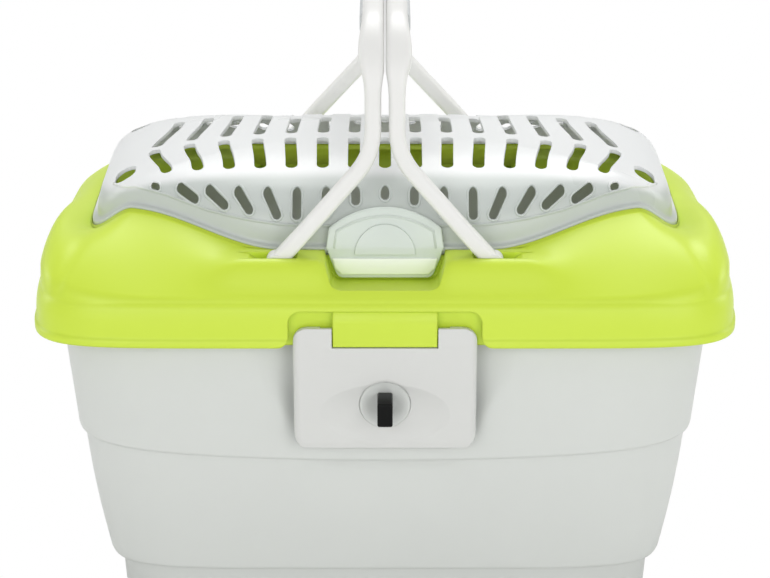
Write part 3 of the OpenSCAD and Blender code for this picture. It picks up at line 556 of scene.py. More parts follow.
lugR = 3.1
outline = arcPoints(latchAxisY, latchZ, lugR, range(90, -91, -15))
outline += [(wallY(latchZ) - 1.5, latchZ - lugR), (wallY(latchZ) - 1.5, latchZ + lugR)]
for side in ("front", "rear"):
    parts = []
    for sx in (-1, 1):
        low, high = sorted((sx * 27.4, sx * 31.4))
        verts, faces = prism(outline, low, high, lambda u, v, w: (w, -u, v))
        parts.append((turned(verts).tolist() if side == "rear" else verts, faces))
    lugs = joined("tub_lugs_" + side, parts, paleTub)
    bevelled(lugs, 0.4)
    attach(lugs, "tub_body")
print("tub made")

# Lid

lid = {"a": 151.5, "b": 115.0, "n": 9.0, "rearN": 6.7, "wall": 2.2, "lipH": 3.4, "skirtH": 20.0,
       "seatA": 131.0, "seatB": 87.0, "seatN": 7.0, "low": 34.5, "rise": 11.5, "narrow": 21.0,
       "rebateD": 2.8, "rebateW": 5.5, "creaseInset": 3.4, "rearDrop": 0.55, "endDrop": 1.11, "step": 1.6,
       "endSkirt": (6.5, -6.0), "endBulge": (7.3, -0.6), "frontBulge": 3.2,
       "endPoke": 0.011}


def seatH(x, y):
    ax = np.abs(x)
    wave = (smooth((ax - 0.34 * lid["seatA"]) / (0.47 * lid["seatA"]))
            - lid["endDrop"] * smooth((ax - 0.83 * lid["seatA"]) / (0.17 * lid["seatA"])))
    return lid["low"] + lid["rise"] * (1 - lid["rearDrop"] * smooth((y + 40) / 100)) * wave


def seatPlan(grow):
    k = squircle(ring, lid["seatN"])
    x = (lid["seatA"] + grow) * ring[:, 0] * k
    depth = lid["seatB"] + grow - lid["narrow"] * smooth((np.abs(x) - 0.32 * lid["seatA"]) / (0.62 * lid["seatA"]))
    return np.stack([x, depth * ring[:, 1] * k], 1)


def seatRing(grow, dz):
    q = seatPlan(grow)
    return lift(q, rimZ + seatH(q[:, 0], q[:, 1]) + dz)


lidK = squircle(ring, np.where(ring[:, 1] > 0, lid["rearN"], lid["n"]))
endness = (np.abs(ring[:, 0]) * lidK) ** 6 * np.where(np.abs(ring[:, 1]) < 1, 1.0, np.abs(ring[:, 0]))
rearness = smooth((ring[:, 1] * lidK + 0.6) / 1.2)


def endAmount(amounts):
    return endness * mix(amounts[0], amounts[1], rearness)


def rimRing(grow, z):
    q = np.stack([(lid["a"] + grow) * ring[:, 0] * lidK, (lid["b"] + grow) * ring[:, 1] * lidK], 1)
    lower = np.minimum(0, endAmount(lid["endSkirt"])) / lid["skirtH"] if z > lid["lipH"] + 1 else 0
    return lift(q, rimZ + z * (1 + lower))


def panelRing(t, sink):
    low = np.stack([(lid["a"] - lid["creaseInset"] - sink + 0.8 * endness) * ring[:, 0] * lidK,
                    (lid["b"] - lid["creaseInset"] - sink) * ring[:, 1] * lidK], 1)
    high = seatPlan(-sink)
    lowZ = lid["skirtH"] + endAmount(lid["endSkirt"])
    highZ = seatH(high[:, 0], high[:, 1]) - lid["step"] * smooth(t)
    q = low + (high - low) * t
    middle = 1 - smooth((np.abs(q[:, 0]) - 62) / 45)
    hump = math.sin(math.pi * t)
    swell = endAmount(lid["endBulge"]) * math.sin(math.pi * t ** 0.8) + lid["frontBulge"] * middle * hump
    q[:, 0] *= 1 + lid["endPoke"] * endness * hump
    return lift(q, rimZ + lowZ + (highZ - lowZ) * t + swell - sink)


socket = {"x": 46.0, "y": 95.0, "half": 13.0, "top": 34.7, "floor": 21.0}


# 1 over the sockets; outside them it falls slowly to the sides and faster to the front
def socketMask(p, reach):
    ax, ay = np.abs(p[:, 0]), np.abs(p[:, 1])
    across = smooth((ax - 20) / 9) * (1 - smooth((ax - 58.5) / (24 * reach)))
    return across * (1 - smooth((ay - 100.6) / (9.5 * reach)))


def withSockets(p):
    out = p.copy()
    mask = socketMask(p, 1.0)
    out[:, 2] += mask * np.maximum(0, rimZ + socket["top"] - p[:, 2])
    return out


# The soft crease round the ends of the front panel: |x| and height over the rim
endCrease = np.array([(119, 47.5), (122, 44.8), (127.6, 39.5), (132.6, 33.6), (136.7, 27.4), (138.2, 23.5),
                      (138, 21), (135.5, 19), (128, 18.6)])
creaseDepth, creaseWidth = 0.9, 2.4


# Sinks the surface along the crease
def creased(p):
    place = np.column_stack([np.abs(p[:, 0]), p[:, 2] - rimZ])
    far = np.full(len(p), 1e3)
    for a, b in zip(endCrease[:-1], endCrease[1:]):
        t = np.clip(((place - a) @ (b - a)) / ((b - a) @ (b - a)), 0, 1)
        far = np.minimum(far, np.linalg.norm(place - (a + t[:, None] * (b - a)), axis=1))
    sunk = creaseDepth * np.exp(-(far / creaseWidth) ** 2) * (p[:, 1] < -60)
    inward = np.column_stack([-0.35 * np.sign(p[:, 0]), np.full(len(p), 0.7), np.full(len(p), -0.55)])
    return p + sunk[:, None] * inward


pocket = {"half": 25.8, "back": 86.4, "floor": 21.3,
          "floorLine": [(86.4, 0.0), (103.5, 0.0), (105.5, 0.6), (107.5, 1.8), (109.0, 3.2), (118.0, 12.0)]}


# The inner surface, lowered under the sockets and the catch's pocket and brought in behind the latches
def thickened(p):
    out = p.copy()
    under = socketMask(p, 0.7)
    out[:, 2] = np.minimum(out[:, 2], mix(out[:, 2], rimZ + socket["floor"], under))
    front = (p[:, 1] < -84) & (p[:, 2] > rimZ + 17)
    held = np.where(front, 1 - smooth((np.abs(p[:, 0]) - 29) / 3), 0.0)
    out[:, 2] = np.minimum(out[:, 2], mix(out[:, 2], rimZ + pocket["floor"] - 2.4, held))
    behind = (1 - smooth((np.abs(p[:, 0]) - 43) / 2.5)) * (np.abs(p[:, 1]) > 108.8) * (p[:, 2] < rimZ + 18)
    out[:, 1] = mix(out[:, 1], np.sign(p[:, 1]) * 108.8, behind)
    return out


def lidRings():
    rings = [rimRing(0.2, 0), rimRing(0.55, 0.3), rimRing(0.6, 0.9), rimRing(0.6, lid["lipH"] - 0.6),
             rimRing(0.35, lid["lipH"]), rimRing(-0.2, lid["lipH"] + 0.35), rimRing(-0.3, lid["lipH"] + 0.9)]
    # The skirt leans in to the crease, which fades out round the ends
    for z, g in ((6, -0.25), (8.5, -0.3), (11, -0.45), (13, -0.7), (15, -1.1), (16.6, -1.5), (17.7, -2.0),
                 (18.3, -2.5), (18.8, -2.9), (19.2, -3.2)):
        rings.append(rimRing(mix(g, max(g, -2.2 - 0.1 * (z - 17)), smooth(endness / 0.35)), z))
    for t in (0.0, 0.05, 0.1, 0.17, 0.24, 0.31, 0.38, 0.45, 0.52, 0.59, 0.66, 0.73, 0.8, 0.87, 0.93, 0.97):
        rings.append(creased(withSockets(panelRing(t, 0))))
    rings.append(panelRing(1, 0))
    shelf, inside = -lid["rebateD"], -lid["rebateW"]
    rings += [seatRing(-0.08, -1.2), seatRing(-0.1, -0.4), seatRing(-0.25, -0.15), seatRing(-0.4, -0.4),
              seatRing(-0.4, shelf + 0.4), seatRing(-0.7, shelf), seatRing(inside, shelf),
              seatRing(inside - 0.4, shelf - 0.4), seatRing(inside - 0.4, shelf - lid["wall"])]
    inner = [seatRing(-lid["wall"], shelf - lid["wall"] - 0.4)]
    for t in (0.85, 0.7, 0.55, 0.4, 0.25, 0.12, 0.0):
        inner.append(panelRing(t, lid["wall"] + (0.6 if t > 0.75 else 0)))
    inner += [rimRing(-1.7 - lid["wall"], lid["skirtH"] - 4.5), rimRing(-lid["wall"], lid["lipH"] + 3),
              rimRing(-lid["wall"], 0)]
    return rings + [thickened(r) for r in inner]


lidShell = loft("lid_shell", lidRings(), lime, closed=True)


# Outline of the pocket from the front: wide at its top, with round corners at its floor
def roundedPocket():
    half, low, corner = pocket["half"] - 2.6, pocket["floor"], 5
    pts = arcPoints(half - corner, low + corner, corner, range(-90, -9, 10))
    pts += [(pocket["half"], low + 13), (pocket["half"], 62)]
    return pts + [(-u, v) for u, v in reversed(pts)]


def lidCuts():
    parts = []
    # Recesses for the latches flare out at their foot
    half, high, corner = 40.75, rimZ + 15.7, 5
    for s in (-1, 1):
        foot = [(half + corner, rimZ - 1)] + arcPoints(half + corner, rimZ + corner, corner, range(270, 179, -15))
        shape = [(-u, v) for u, v in reversed(foot)] + foot
        shape += arcPoints(half - corner, high - corner, corner, np.linspace(0, 90, 9))
        shape += arcPoints(-half + corner, high - corner, corner, np.linspace(90, 180, 9))
        parts.append(prism(shape, 111, 131, lambda u, v, w: (u, s * w, v)))
        for sx in (-1, 1):
            slot = [(-5.6, -5), (1.5, -5), (12, 2.4), (20, 3.4), (20, 30), (-11, 30), (-11, 5.6), (-5.6, -0.6)]
            y0, y1 = sorted((s * (socket["y"] - 4.4), s * (socket["y"] + 4.4)))
            parts.append(prism(slot, y0, y1, lambda u, v, w: (sx * (socket["x"] + u), w, rimZ + 31.5 + v)))
    # The pocket's floor is level under the catch and then rises to the panel
    shape = roundedPocket()
    n, verts, faces = len(shape), [], []
    for y, rise in pocket["floorLine"]:
        verts += [(u, -y, rimZ + v + rise * (1 - smooth((v - pocket["floor"]) / 9.0))) for u, v in shape]
    last = len(pocket["floorLine"]) - 1
    faces = [tuple(range(n))[::-1], tuple(range(last * n, (last + 1) * n))]
    for k in range(last):
        faces += [(k * n + j, k * n + (j + 1) % n, (k + 1) * n + (j + 1) % n, (k + 1) * n + j) for j in range(n)]
    parts.append((verts, faces))
    # Relief under the door's hinge barrels
    for sx in (-1, 1):
        box = [(4.6, 86.3), (19.4, 86.3), (19.4, 97.7), (4.6, 97.7)]
        parts.append(prism(box, rimZ + 34.8, rimZ + 56, lambda u, v, w: (sx * u, v, w)))
    return parts


carve(lidShell, lidCuts())
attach(lidShell, "lid_body")
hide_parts("lid")

stubY, stubZ = latchTop - 3.0 + 0.9 - 1.6, rimZ + 4.4
for side in ("front", "rear"):
    tongue = [(110, 0.3), (114.6, 0.3), (115, 0.7), (115, 10.4), (114.75, 12.4), (114.1, 14.2), (113.3, 15.8),
              (110, 16.5)]
    verts, faces = prism(tongue, -22, 22, lambda u, v, w: (w, -u, rimZ + v))
    parts = [(verts, faces)]
    for sx in (-1, 1):
        parts.append(cylinder((sx * 22.05, -stubY, stubZ), (sx * 26.5, -stubY, stubZ), 1.6, 24))
        web = [(stubY, -0.8), (stubY, 0.8), (110, 0.8), (110, -0.8)]
        low, high = sorted((sx * 22.1, sx * 26.4))
        parts.append(prism(web, low, high, lambda u, v, w: (w, -u, stubZ + v)))
    if side == "rear":
        parts = [(turned(v).tolist(), f) for v, f in parts]
    piece = joined("lid_tongue_" + side, parts, lime)
    bevelled(piece, 0.5)
    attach(piece, "lid_body")

hinge = {"y": 90.2, "z": rimZ + 38.7, "r": 3.3, "inner": 5.0, "outer": 19.0, "lug": 3.0}


def lugOutline(r, foot):
    pts = arcPoints(hinge["y"], hinge["z"], r, range(0, 181, 12))
    return pts + [(hinge["y"] - r, foot), (hinge["y"] + r + 2, foot)]


parts = []
for x in (hinge["inner"] - 0.4 - hinge["lug"], hinge["outer"] + 0.4):
    for sx in (-1, 1):
        low, high = sorted((sx * x, sx * (x + hinge["lug"])))
        parts.append(prism(lugOutline(hinge["r"], rimZ + 27), low, high, lambda u, v, w: (w, u, v)))
lidLugs = joined("lid_hinge_lugs", parts, lime)
bevelled(lidLugs, 0.4)
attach(lidLugs, "lid_body")

parts = []
for x in (-100, -62, 62, 100):
    for s in (-1, 1):
        box = [(x - 1.2, s * 104.8), (x + 1.2, s * 104.8), (x + 1.2, s * 112.5), (x - 1.2, s * 112.5)]
        parts.append(prism(box, rimZ + 8, rimZ + 12, lambda u, v, w: (u, v, w)))
for y in (-50, 0, 50):
    for s in (-1, 1):
        box = [(s * 138.8, y - 1.2), (s * 149, y - 1.2), (s * 149, y + 1.2), (s * 138.8, y + 1.2)]
        parts.append(prism(box, rimZ + 8, rimZ + 12, lambda u, v, w: (u, v, w)))
ribs = joined("lid_seat_ribs", parts, lime)
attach(ribs, "lid_body")
print("lid made")

# Door

door = {"top": 66.5, "wall": 2.0, "grow": -0.8, "inset": 2.4, "ridgeY": -8.0, "flange": 3.0, "foot": -2.25}


def domeRing(angle, sink):
    m = mix(3.0, np.where(ring[:, 1] < 0, 2.9, 1.6), np.abs(ring[:, 1]) ** 4)
    s = math.cos(math.radians(angle)) ** (2 / m)
    h = math.sin(math.radians(angle)) ** (2 / m)
    q = seatPlan(door["grow"] - door["inset"] - sink)
    foot = seatH(q[:, 0], q[:, 1]) + 0.8
    return np.column_stack([q[:, 0] * s, door["ridgeY"] + (q[:, 1] - door["ridgeY"]) * s,
                            rimZ + foot + (door["top"] - sink - foot) * h])


def doorRings():
    wall, grow, inset, foot = door["wall"], door["grow"], door["inset"], door["foot"]
    step = foot + door["flange"]
    inner = [2.0, 6, 12, 20, 28, 36, 44, 52, 60, 68, 75, 81, 86]
    outer = [1.0, 3, 6, 10, 15, 20, 26, 32, 38, 44, 50, 56, 62, 68, 74, 79, 84, 87.5]
    rings = [domeRing(a, wall) for a in reversed(inner)]
    rings += [seatRing(grow - inset - wall, foot), seatRing(grow - 0.4, foot), seatRing(grow, foot + 0.4),
              seatRing(grow, step - 0.5), seatRing(grow - 0.15, step - 0.1), seatRing(grow - 0.5, step + 0.05),
              seatRing(grow - inset + 0.5, step + 0.3), seatRing(grow - inset, step + 0.6)]
    rings += [domeRing(a, 0) for a in outer]
    return rings


crown = [(0, door["ridgeY"], rimZ + door["top"] - down) for down in (door["wall"], 0)]
doorShell = loft("door_shell", doorRings(), milky, centres=crown)
doorTree = surfaceTree(doorShell)


# Outline of a slot with round ends between two points
def stadium(a, b, w, steps=10):
    a, b = np.array(a, float), np.array(b, float)
    along = (b - a) / max(np.linalg.norm(b - a), 1e-6)
    side = np.array([-along[1], along[0]])
    pts = []
    for i in range(steps + 1):
        t = math.radians(-90 + 180 * i / steps)
        pts.append(b + w / 2 * (math.cos(t) * along + math.sin(t) * side))
    for i in range(steps + 1):
        t = math.radians(90 + 180 * i / steps)
        pts.append(a + w / 2 * (math.cos(t) * along + math.sin(t) * side))
    return [tuple(p) for p in pts]


slotPitch, slotW, slotFan = 13.5, 5.2, 0.17
spans = [(-57, -27.5), (-15, 15), (31, 57)]


def slotX(i, y):
    return i * slotPitch + math.copysign(slotFan * i * i, i) * (1 - float(smooth(abs(y + 22) / 38)))


# Outline of an upper slot that follows the fan of its row
def bentSlot(i, low, high, w, steps=6):
    ys = np.linspace(low, high, steps + 1)
    mid = [np.array([slotX(i, y), y]) for y in ys]
    right, left = [], []
    for k, m in enumerate(mid):
        t = mid[min(k + 1, steps)] - mid[max(k - 1, 0)]
        t /= np.linalg.norm(t)
        side = np.array([t[1], -t[0]])
        right.append(m + side * w / 2)
        left.append(m - side * w / 2)
        if k == 0:
            startTurn, startMid = math.atan2(-t[1], -t[0]), m
        endTurn, endMid = math.atan2(t[1], t[0]), m
    corner = 0.5 * math.pi
    pts = list(right)
    pts += [endMid + w / 2 * np.array([math.cos(endTurn + a), math.sin(endTurn + a)])
            for a in np.linspace(-corner, corner, 9)[1:-1]]
    pts += list(reversed(left))
    pts += [startMid + w / 2 * np.array([math.cos(startTurn + a), math.sin(startTurn + a)])
            for a in np.linspace(-corner, corner, 9)[1:-1]]
    return [tuple(q) for q in pts]


def upperSlots():
    outlines = []
    for i in range(-7, 8):
        for low, high in spans:
            shift = 0.06 * i * i if low < -20 else 0
            outlines.append(bentSlot(i, low + shift, high + shift, slotW))
    for sx in (-1, 1):
        for y in (-43, 34):
            outlines.append(stadium((sx * 0.87 * lid["seatA"], y - 2.5), (sx * 0.87 * lid["seatA"], y + 2.5), 9.0))
    return outlines


ventHigh = lid["low"] + 22.4
ventLean = [0, 0, 0, 0, 4, 4.6, 6.4, 6, 1.6]
ventRun = [0.4, 2.2, 6.6, 7.4, 7.2, 5.6, 4.4, 3, 0.1]


def ventOutlines(high):
    outlines = []
    for i in range(-8, 9):
        n = abs(i)
        x, z = i * (12.5 if n == 8 else 12.55), high - 0.12 * n
        foot = (x - math.copysign(ventLean[n], i), z - ventRun[n])
        outlines.append(stadium(foot, (x, z), 3.36 if n == 8 else 4.8))
    return outlines


upper = upperSlots()
frontVents = ventOutlines(ventHigh - 1)
rearVents = ventOutlines(ventHigh - 7)
cuts = [prism(o, rimZ + 42, rimZ + 90, lambda u, v, w: (u, v, w)) for o in upper]
cuts += [prism(o, 50, 118, lambda u, v, w: (u, -w, rimZ + v)) for o in frontVents]
cuts += [prism(o, 62, 118, lambda u, v, w: (u, w, rimZ + v)) for o in rearVents]
carve(doorShell, cuts)
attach(doorShell, "door_body")
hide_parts("door")


# The outline laid on the dome's outer surface
def projected(outline, start, way):
    pts = []
    for u, v in outline:
        origin = Vector(start(u, v)) * mm
        hit = doorTree.ray_cast(origin, Vector(way))
        if hit[0] is None:
            return None
        pts.append(np.array(hit[0]) / mm)
    return pts


rims = []
for o in frontVents:
    rims.append(projected(o, lambda u, v: (u, -130, rimZ + v), (0, 1, 0)))
for o in rearVents:
    rims.append(projected(o, lambda u, v: (u, 130, rimZ + v), (0, -1, 0)))
rims = [r for r in rims if r is not None]
ventRims = joined("vent_rims", tubeAlong(rims, 0.6), milky)
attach(ventRims, "door_body")

# Fine bead along the door's front and rear, over the flange; heights over the rim at places along x
beadX = [0, 25, 44, 62, 76, 94, 108, 121]
beadZ = [43.6, 43.9, 44.4, 46.2, 48.2, 52.4, 54.0, 51.0]
beads = []
for s in (-1, 1):
    path = []
    for x in np.linspace(-119, 119, 161):
        z = float(np.interp(abs(x), beadX, beadZ)) - (6.5 if s > 0 else 0)
        hit = doorTree.ray_cast(Vector((x, s * 130, rimZ + z)) * mm, Vector((0, -s, 0)))
        if hit[0] is not None:
            path.append((np.array(hit[0]) / mm, np.array(hit[1])))
    if len(path) > 20:
        high = [p + 0.12 * n + (0, 0, 0.25) for p, n in path]
        low = [p + 0.12 * n - (0, 0, 0.25) for p, n in path]
        beads.append(np.array(high + low[::-1]))
doorBeads = joined("door_beads", tubeAlong(beads, 0.42), milky)
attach(doorBeads, "door_body")

parts = []
for sx in (-1, 1):
    outline = arcPoints(hinge["y"], hinge["z"], hinge["r"], range(-120, 121, 12))
    outline += [(82.5, hinge["z"] + 2.3), (82.5, hinge["z"] - 2.4)]
    low, high = sorted((sx * hinge["inner"], sx * hinge["outer"]))
    parts.append(prism(outline, low, high, lambda u, v, w: (w, u, v)))
barrels = joined("door_barrels", parts, milky)
bevelled(barrels, 0.4)
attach(barrels, "door_body")
print("door made")

# Catch

catch = {"back": 86.8, "foot": 22.3, "top": 52.3, "bend": 36.0, "lean": 0.27, "t": 2.0, "half": 25.0, "arch": 37.5}


# A point of the catch: across, up, and out from its back; the plate bends back above the flange
def catchPoint(u, v, w):
    y = catch["back"] + w - catch["lean"] * max(0.0, v - catch["bend"])
    return (u, -y, rimZ + v)


def catchOutline(inset):
    half, low, top, r = catch["half"] - inset, catch["foot"] + inset, catch["top"] - inset, catch["arch"]
    pts = arcPoints(half - 3.8 - 3.5, low + 3.5, 3.5, np.linspace(-90, -20, 7))
    pts += [(half - 1.8, low + 8), (half, catch["bend"])]
    edge = math.asin((half - 1.0) / r)
    for i in range(25):
        a = edge * (1 - i / 12)
        pts.append((r * math.sin(a), top - r + r * math.cos(a)))
    pts.append((-half, catch["bend"]))
    return pts + [(-u, v) for u, v in reversed(pts[:8])]


# A slab on the catch, filled with a fine grid so that it can bend
def catchSlab(name, outline, low, high, soft, material=catchGrey):
    piece = bmesh.new()
    verts = [piece.verts.new((u, 0, v)) for u, v in outline]
    piece.faces.new(verts)
    for z in (catch["bend"] - 3, catch["bend"] - 1.5, catch["bend"], catch["bend"] + 1.5, catch["bend"] + 3):
        geometry = piece.verts[:] + piece.edges[:] + piece.faces[:]
        bmesh.ops.bisect_plane(piece, geom=geometry, plane_co=(0, 0, z), plane_no=(0, 0, 1))
    piece.verts.index_update()
    flat = [v.co.copy() for v in piece.verts]
    polys = [[v.index for v in f.verts] for f in piece.faces]
    rim = [[v.index for v in e.verts] for e in piece.edges if len(e.link_faces) == 1]
    piece.free()
    n = len(flat)
    verts = [catchPoint(p.x, p.z, low) for p in flat] + [catchPoint(p.x, p.z, high) for p in flat]
    faces = [list(f) for f in polys] + [[n + i for i in reversed(f)] for f in polys]
    faces += [[a, b, n + b, n + a] for a, b in rim]
    obj = joined(name, [(verts, faces)], material)
    bevelled(obj, soft)
    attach(obj, "catch_body")
    return obj


catchPlate = catchSlab("catch_plate", catchOutline(0), 0, catch["t"], 0.6)
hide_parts("door_catch")
buttonBase = catch["top"] - 19.5
catchSlab("catch_button", arcPoints(0, buttonBase, 13, range(0, 181, 6)), catch["t"] - 0.4, catch["t"] + 1.0, 0.6)
# The bar wears the painted light of the near-white bar colour
catchSlab("catch_bar", [(-18.5, catch["foot"] + 1.6), (18.5, catch["foot"] + 1.6), (21.5, catch["foot"] + 4.5),
                        (22.5, catch["foot"] + 9), (-22.5, catch["foot"] + 9), (-21.5, catch["foot"] + 4.5)],
          catch["t"] - 0.4, catch["t"] + 0.9, 0.7, barLitWhite)
innerArch = [p for p in catchOutline(3.2) if p[1] > catch["bend"] - 2]
outer = [catchPoint(u, v, catch["t"]) for u, v in innerArch]
inner = [catchPoint(u * 0.985, v - 0.5, catch["t"]) for u, v in innerArch]
archLine = joined("catch_arch", tubeAlong([outer + inner[::-1]], 0.32), catchGrey)
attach(archLine, "catch_body")
print("catch made")

# Handles

armW, armD, gripW, gripH, cornerW = 7.0, 8.0, 9.6, 14.0, 11.0
gripX, pivotH, gripTop = 0.25 + 9.6 / 2, 31.5, 126.0


def unit(v):
    return v / np.linalg.norm(v)


def bezier(a, b, c, count):
    t = np.linspace(0, 1, count)[:, None]
    return (1 - t) ** 2 * a + 2 * t * (1 - t) * b + t ** 2 * c


def handlePath():
    foot = np.array([-46.0, -95, pivotH])
    kink = np.array([-gripX, -95 + 0.1 * 46, pivotH + 46])
    top = np.array([-gripX, -95 + 0.1 * (gripTop - pivotH), gripTop])
    mid = np.array([-gripX, 0, gripTop + 1])
    rise = foot + 17 * unit(np.array([kink[0] - foot[0], 0, 46]))
    pts = [np.linspace(foot, rise, 5)[:-1]]
    start = kink + 11 * unit(rise - kink)
    pts.append(np.linspace(rise, start, 8)[:-1])
    end = kink + 11 * unit(top - kink)
    pts.append(bezier(start, kink, end, 10)[:-1])
    corner = top + 24 * unit(kink - top)
    pts.append(np.linspace(end, corner, 10)[:-1])
    sizes = [np.tile([armW, armD], (sum(len(p) for p in pts), 1))]
    arc = bezier(corner, top, top + 24 * unit(mid - top), 14)
    t = np.linspace(0, 1, 14)
    wide = np.where(t < 0.45, mix(armW, cornerW, smooth(t / 0.4)), mix(cornerW, gripW, smooth((t - 0.45) / 0.5)))
    arc[:, 0] = np.minimum(arc[:, 0], -0.25 - wide / 2)
    pts.append(arc[:-1])
    sizes.append(np.stack([wide, mix(armD, gripH, t)], 1)[:-1])
    run = np.linspace(arc[-1], mid, 16)
    pts.append(run)
    sizes.append(np.tile([gripW, gripH], (16, 1)))
    path = np.concatenate(pts)
    size = np.concatenate(sizes)
    back = path[:-1][::-1] * np.array([1, -1, 1])
    return np.concatenate([path, back]), np.concatenate([size, size[:-1][::-1]])


def handleRings(sides=32):
    path, size = handlePath()
    ahead = np.zeros_like(path)
    ahead[1:-1] = path[2:] - path[:-2]
    ahead[0], ahead[-1] = path[1] - path[0], path[-1] - path[-2]
    ahead /= np.linalg.norm(ahead, axis=1)[:, None]
    rings = []
    for p, t, (w, d) in zip(path, ahead, size):
        e1 = unit(np.array([1, 0, 0]) - t[0] * t)
        e2 = np.cross(t, e1)
        a = np.arange(sides) * 2 * math.pi / sides
        c, s = np.cos(a), np.sin(a)
        k = (np.abs(c) ** 4 + np.abs(s) ** 4) ** -0.25 / 2
        rings.append(p + np.outer(c * k * w, e1) + np.outer(s * k * d, e2) + np.array([0, 0, rimZ]))
    return rings


# A ribbed soft pad: its outer face waves along the grip
def padParts():
    long, high, face = 123.8, 8.8, gripX + gripW / 2
    rows, cols = 10, 280
    verts, faces = [], []
    for i in range(cols + 1):
        y = -long / 2 + long * i / cols
        ends = min(1.0, min(y + long / 2, long / 2 - y) / 1.2)
        wave = 0.5 - 0.5 * math.cos(2 * math.pi * y / 4)
        for j in range(rows + 1):
            z = -high / 2 + high * j / rows
            edge = min(1.0, (high / 2 - abs(z)) / 1.1)
            out = 0.05 + 0.95 * max(0, edge) ** 0.5 * max(0, ends) ** 0.5 * (0.25 + 0.75 * wave ** 0.8)
            verts.append((-face - out * 0.98 + 0.02, y, z))
    flat = len(verts)
    for i in range(cols + 1):
        y = -long / 2 + long * i / cols
        for j in range(rows + 1):
            verts.append((-face + 0.95, y, -high / 2 + high * j / rows))
    for i in range(cols):
        for j in range(rows):
            a = i * (rows + 1) + j
            b = a + rows + 1
            faces.append((a, a + 1, b + 1, b))
            faces.append((flat + a, flat + b, flat + b + 1, flat + a + 1))
    for i in range(cols):
        for j in (0, rows):
            a = i * (rows + 1) + j
            b = a + rows + 1
            faces.append((a, b, flat + b, flat + a))
    for j in range(rows):
        for i in (0, cols):
            a = i * (rows + 1) + j
            faces.append((a, a + 1, flat + a + 1, flat + a))
    out = [(x, y, z + rimZ + gripTop + 0.5) for x, y, z in verts]
    return out, faces


def mirrored(points):
    return np.asarray(points, float) * np.array([-1, 1, 1])


for side in ("left", "right"):
    rings = handleRings()
    pad, padFaces = padParts()
    parts = []
    for sy in (-1, 1):
        parts.append(cylinder((-46, sy * 91, rimZ + pivotH), (-46, sy * 99, rimZ + pivotH), 4.4))
        parts.append(cylinder((-46, sy * 88.6, rimZ + pivotH), (-46, sy * 101.4, rimZ + pivotH), 2.5))
    if side == "right":
        rings = [mirrored(r) for r in rings]
        pad = mirrored(pad).tolist()
        parts = [(mirrored(v).tolist(), f) for v, f in parts]
    body = "handle_%s_body" % side
    bail = loft("bail_" + side, rings, handleGrey)
    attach(bail, body)
    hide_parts("handle_" + side)
    feet = joined("bail_feet_" + side, parts, handleGrey)
    feet.data.set_sharp_from_angle(angle=math.radians(40))
    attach(feet, body)
    grip = joined("grip_ribs_" + side, [(pad, padFaces)], gripGrey)
    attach(grip, body)
    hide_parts("grip_pad_" + side)
print("handles made")

# Latches


# The plate as a fine sheet, thinner under the thumb hollow, closed at its edges
def latchPlate():
    cols, rows = 150, 110
    xs = np.linspace(-38.75, 38.75, cols + 1)
    zs = np.linspace(latchZ - 2.0, rimZ + 8.7, rows + 1)
    gx, gz = np.meshgrid(xs, zs, indexing="ij")
    face = latchFace(gz) - 0.5 * smooth((latchZ + 1 - gz) / 3)
    u, v = gx / 27.5, (gz - perchZ + 3.6) / 13.8
    far = np.sqrt(u ** 2 + v ** 2)
    hollow = 2.6 * (1 - np.clip(far, 0, 1) ** 3)
    hollow = np.where(far < 1, hollow, 0)
    lipAt = np.clip((np.hypot(gx, gz - perchZ) - 11) / 1.3, 0, 1)
    hollow = np.minimum(hollow + 0.7 * (1 - lipAt) ** 2 * smooth((gz - perchZ - 3) / 6), 2.6)
    sides = 1.6 * np.clip((np.abs(gx) - 35.4) / 3.35, 0, 1) ** 2.2
    front = face - hollow - sides
    back = face - 3.0 - 0.1
    back = np.where(gz < latchZ + 1.5, np.minimum(back, latchAxisY), back)
    verts = [(x, -y, z) for x, y, z in zip(gx.ravel(), front.ravel(), gz.ravel())]
    flat = len(verts)
    verts += [(x, -y, z) for x, y, z in zip(gx.ravel(), back.ravel(), gz.ravel())]
    faces = []
    n = rows + 1
    for i in range(cols):
        for j in range(rows):
            a, b = i * n + j, (i + 1) * n + j
            faces.append((a, b, b + 1, a + 1))
            faces.append((flat + a, flat + a + 1, flat + b + 1, flat + b))
    for i in range(cols):
        for j in (0, rows):
            a, b = i * n + j, (i + 1) * n + j
            faces.append((a, b, flat + b, flat + a))
    for j in range(rows):
        for i in (0, cols):
            a = i * n + j
            faces.append((a, a + 1, flat + a + 1, flat + a))
    return verts, faces


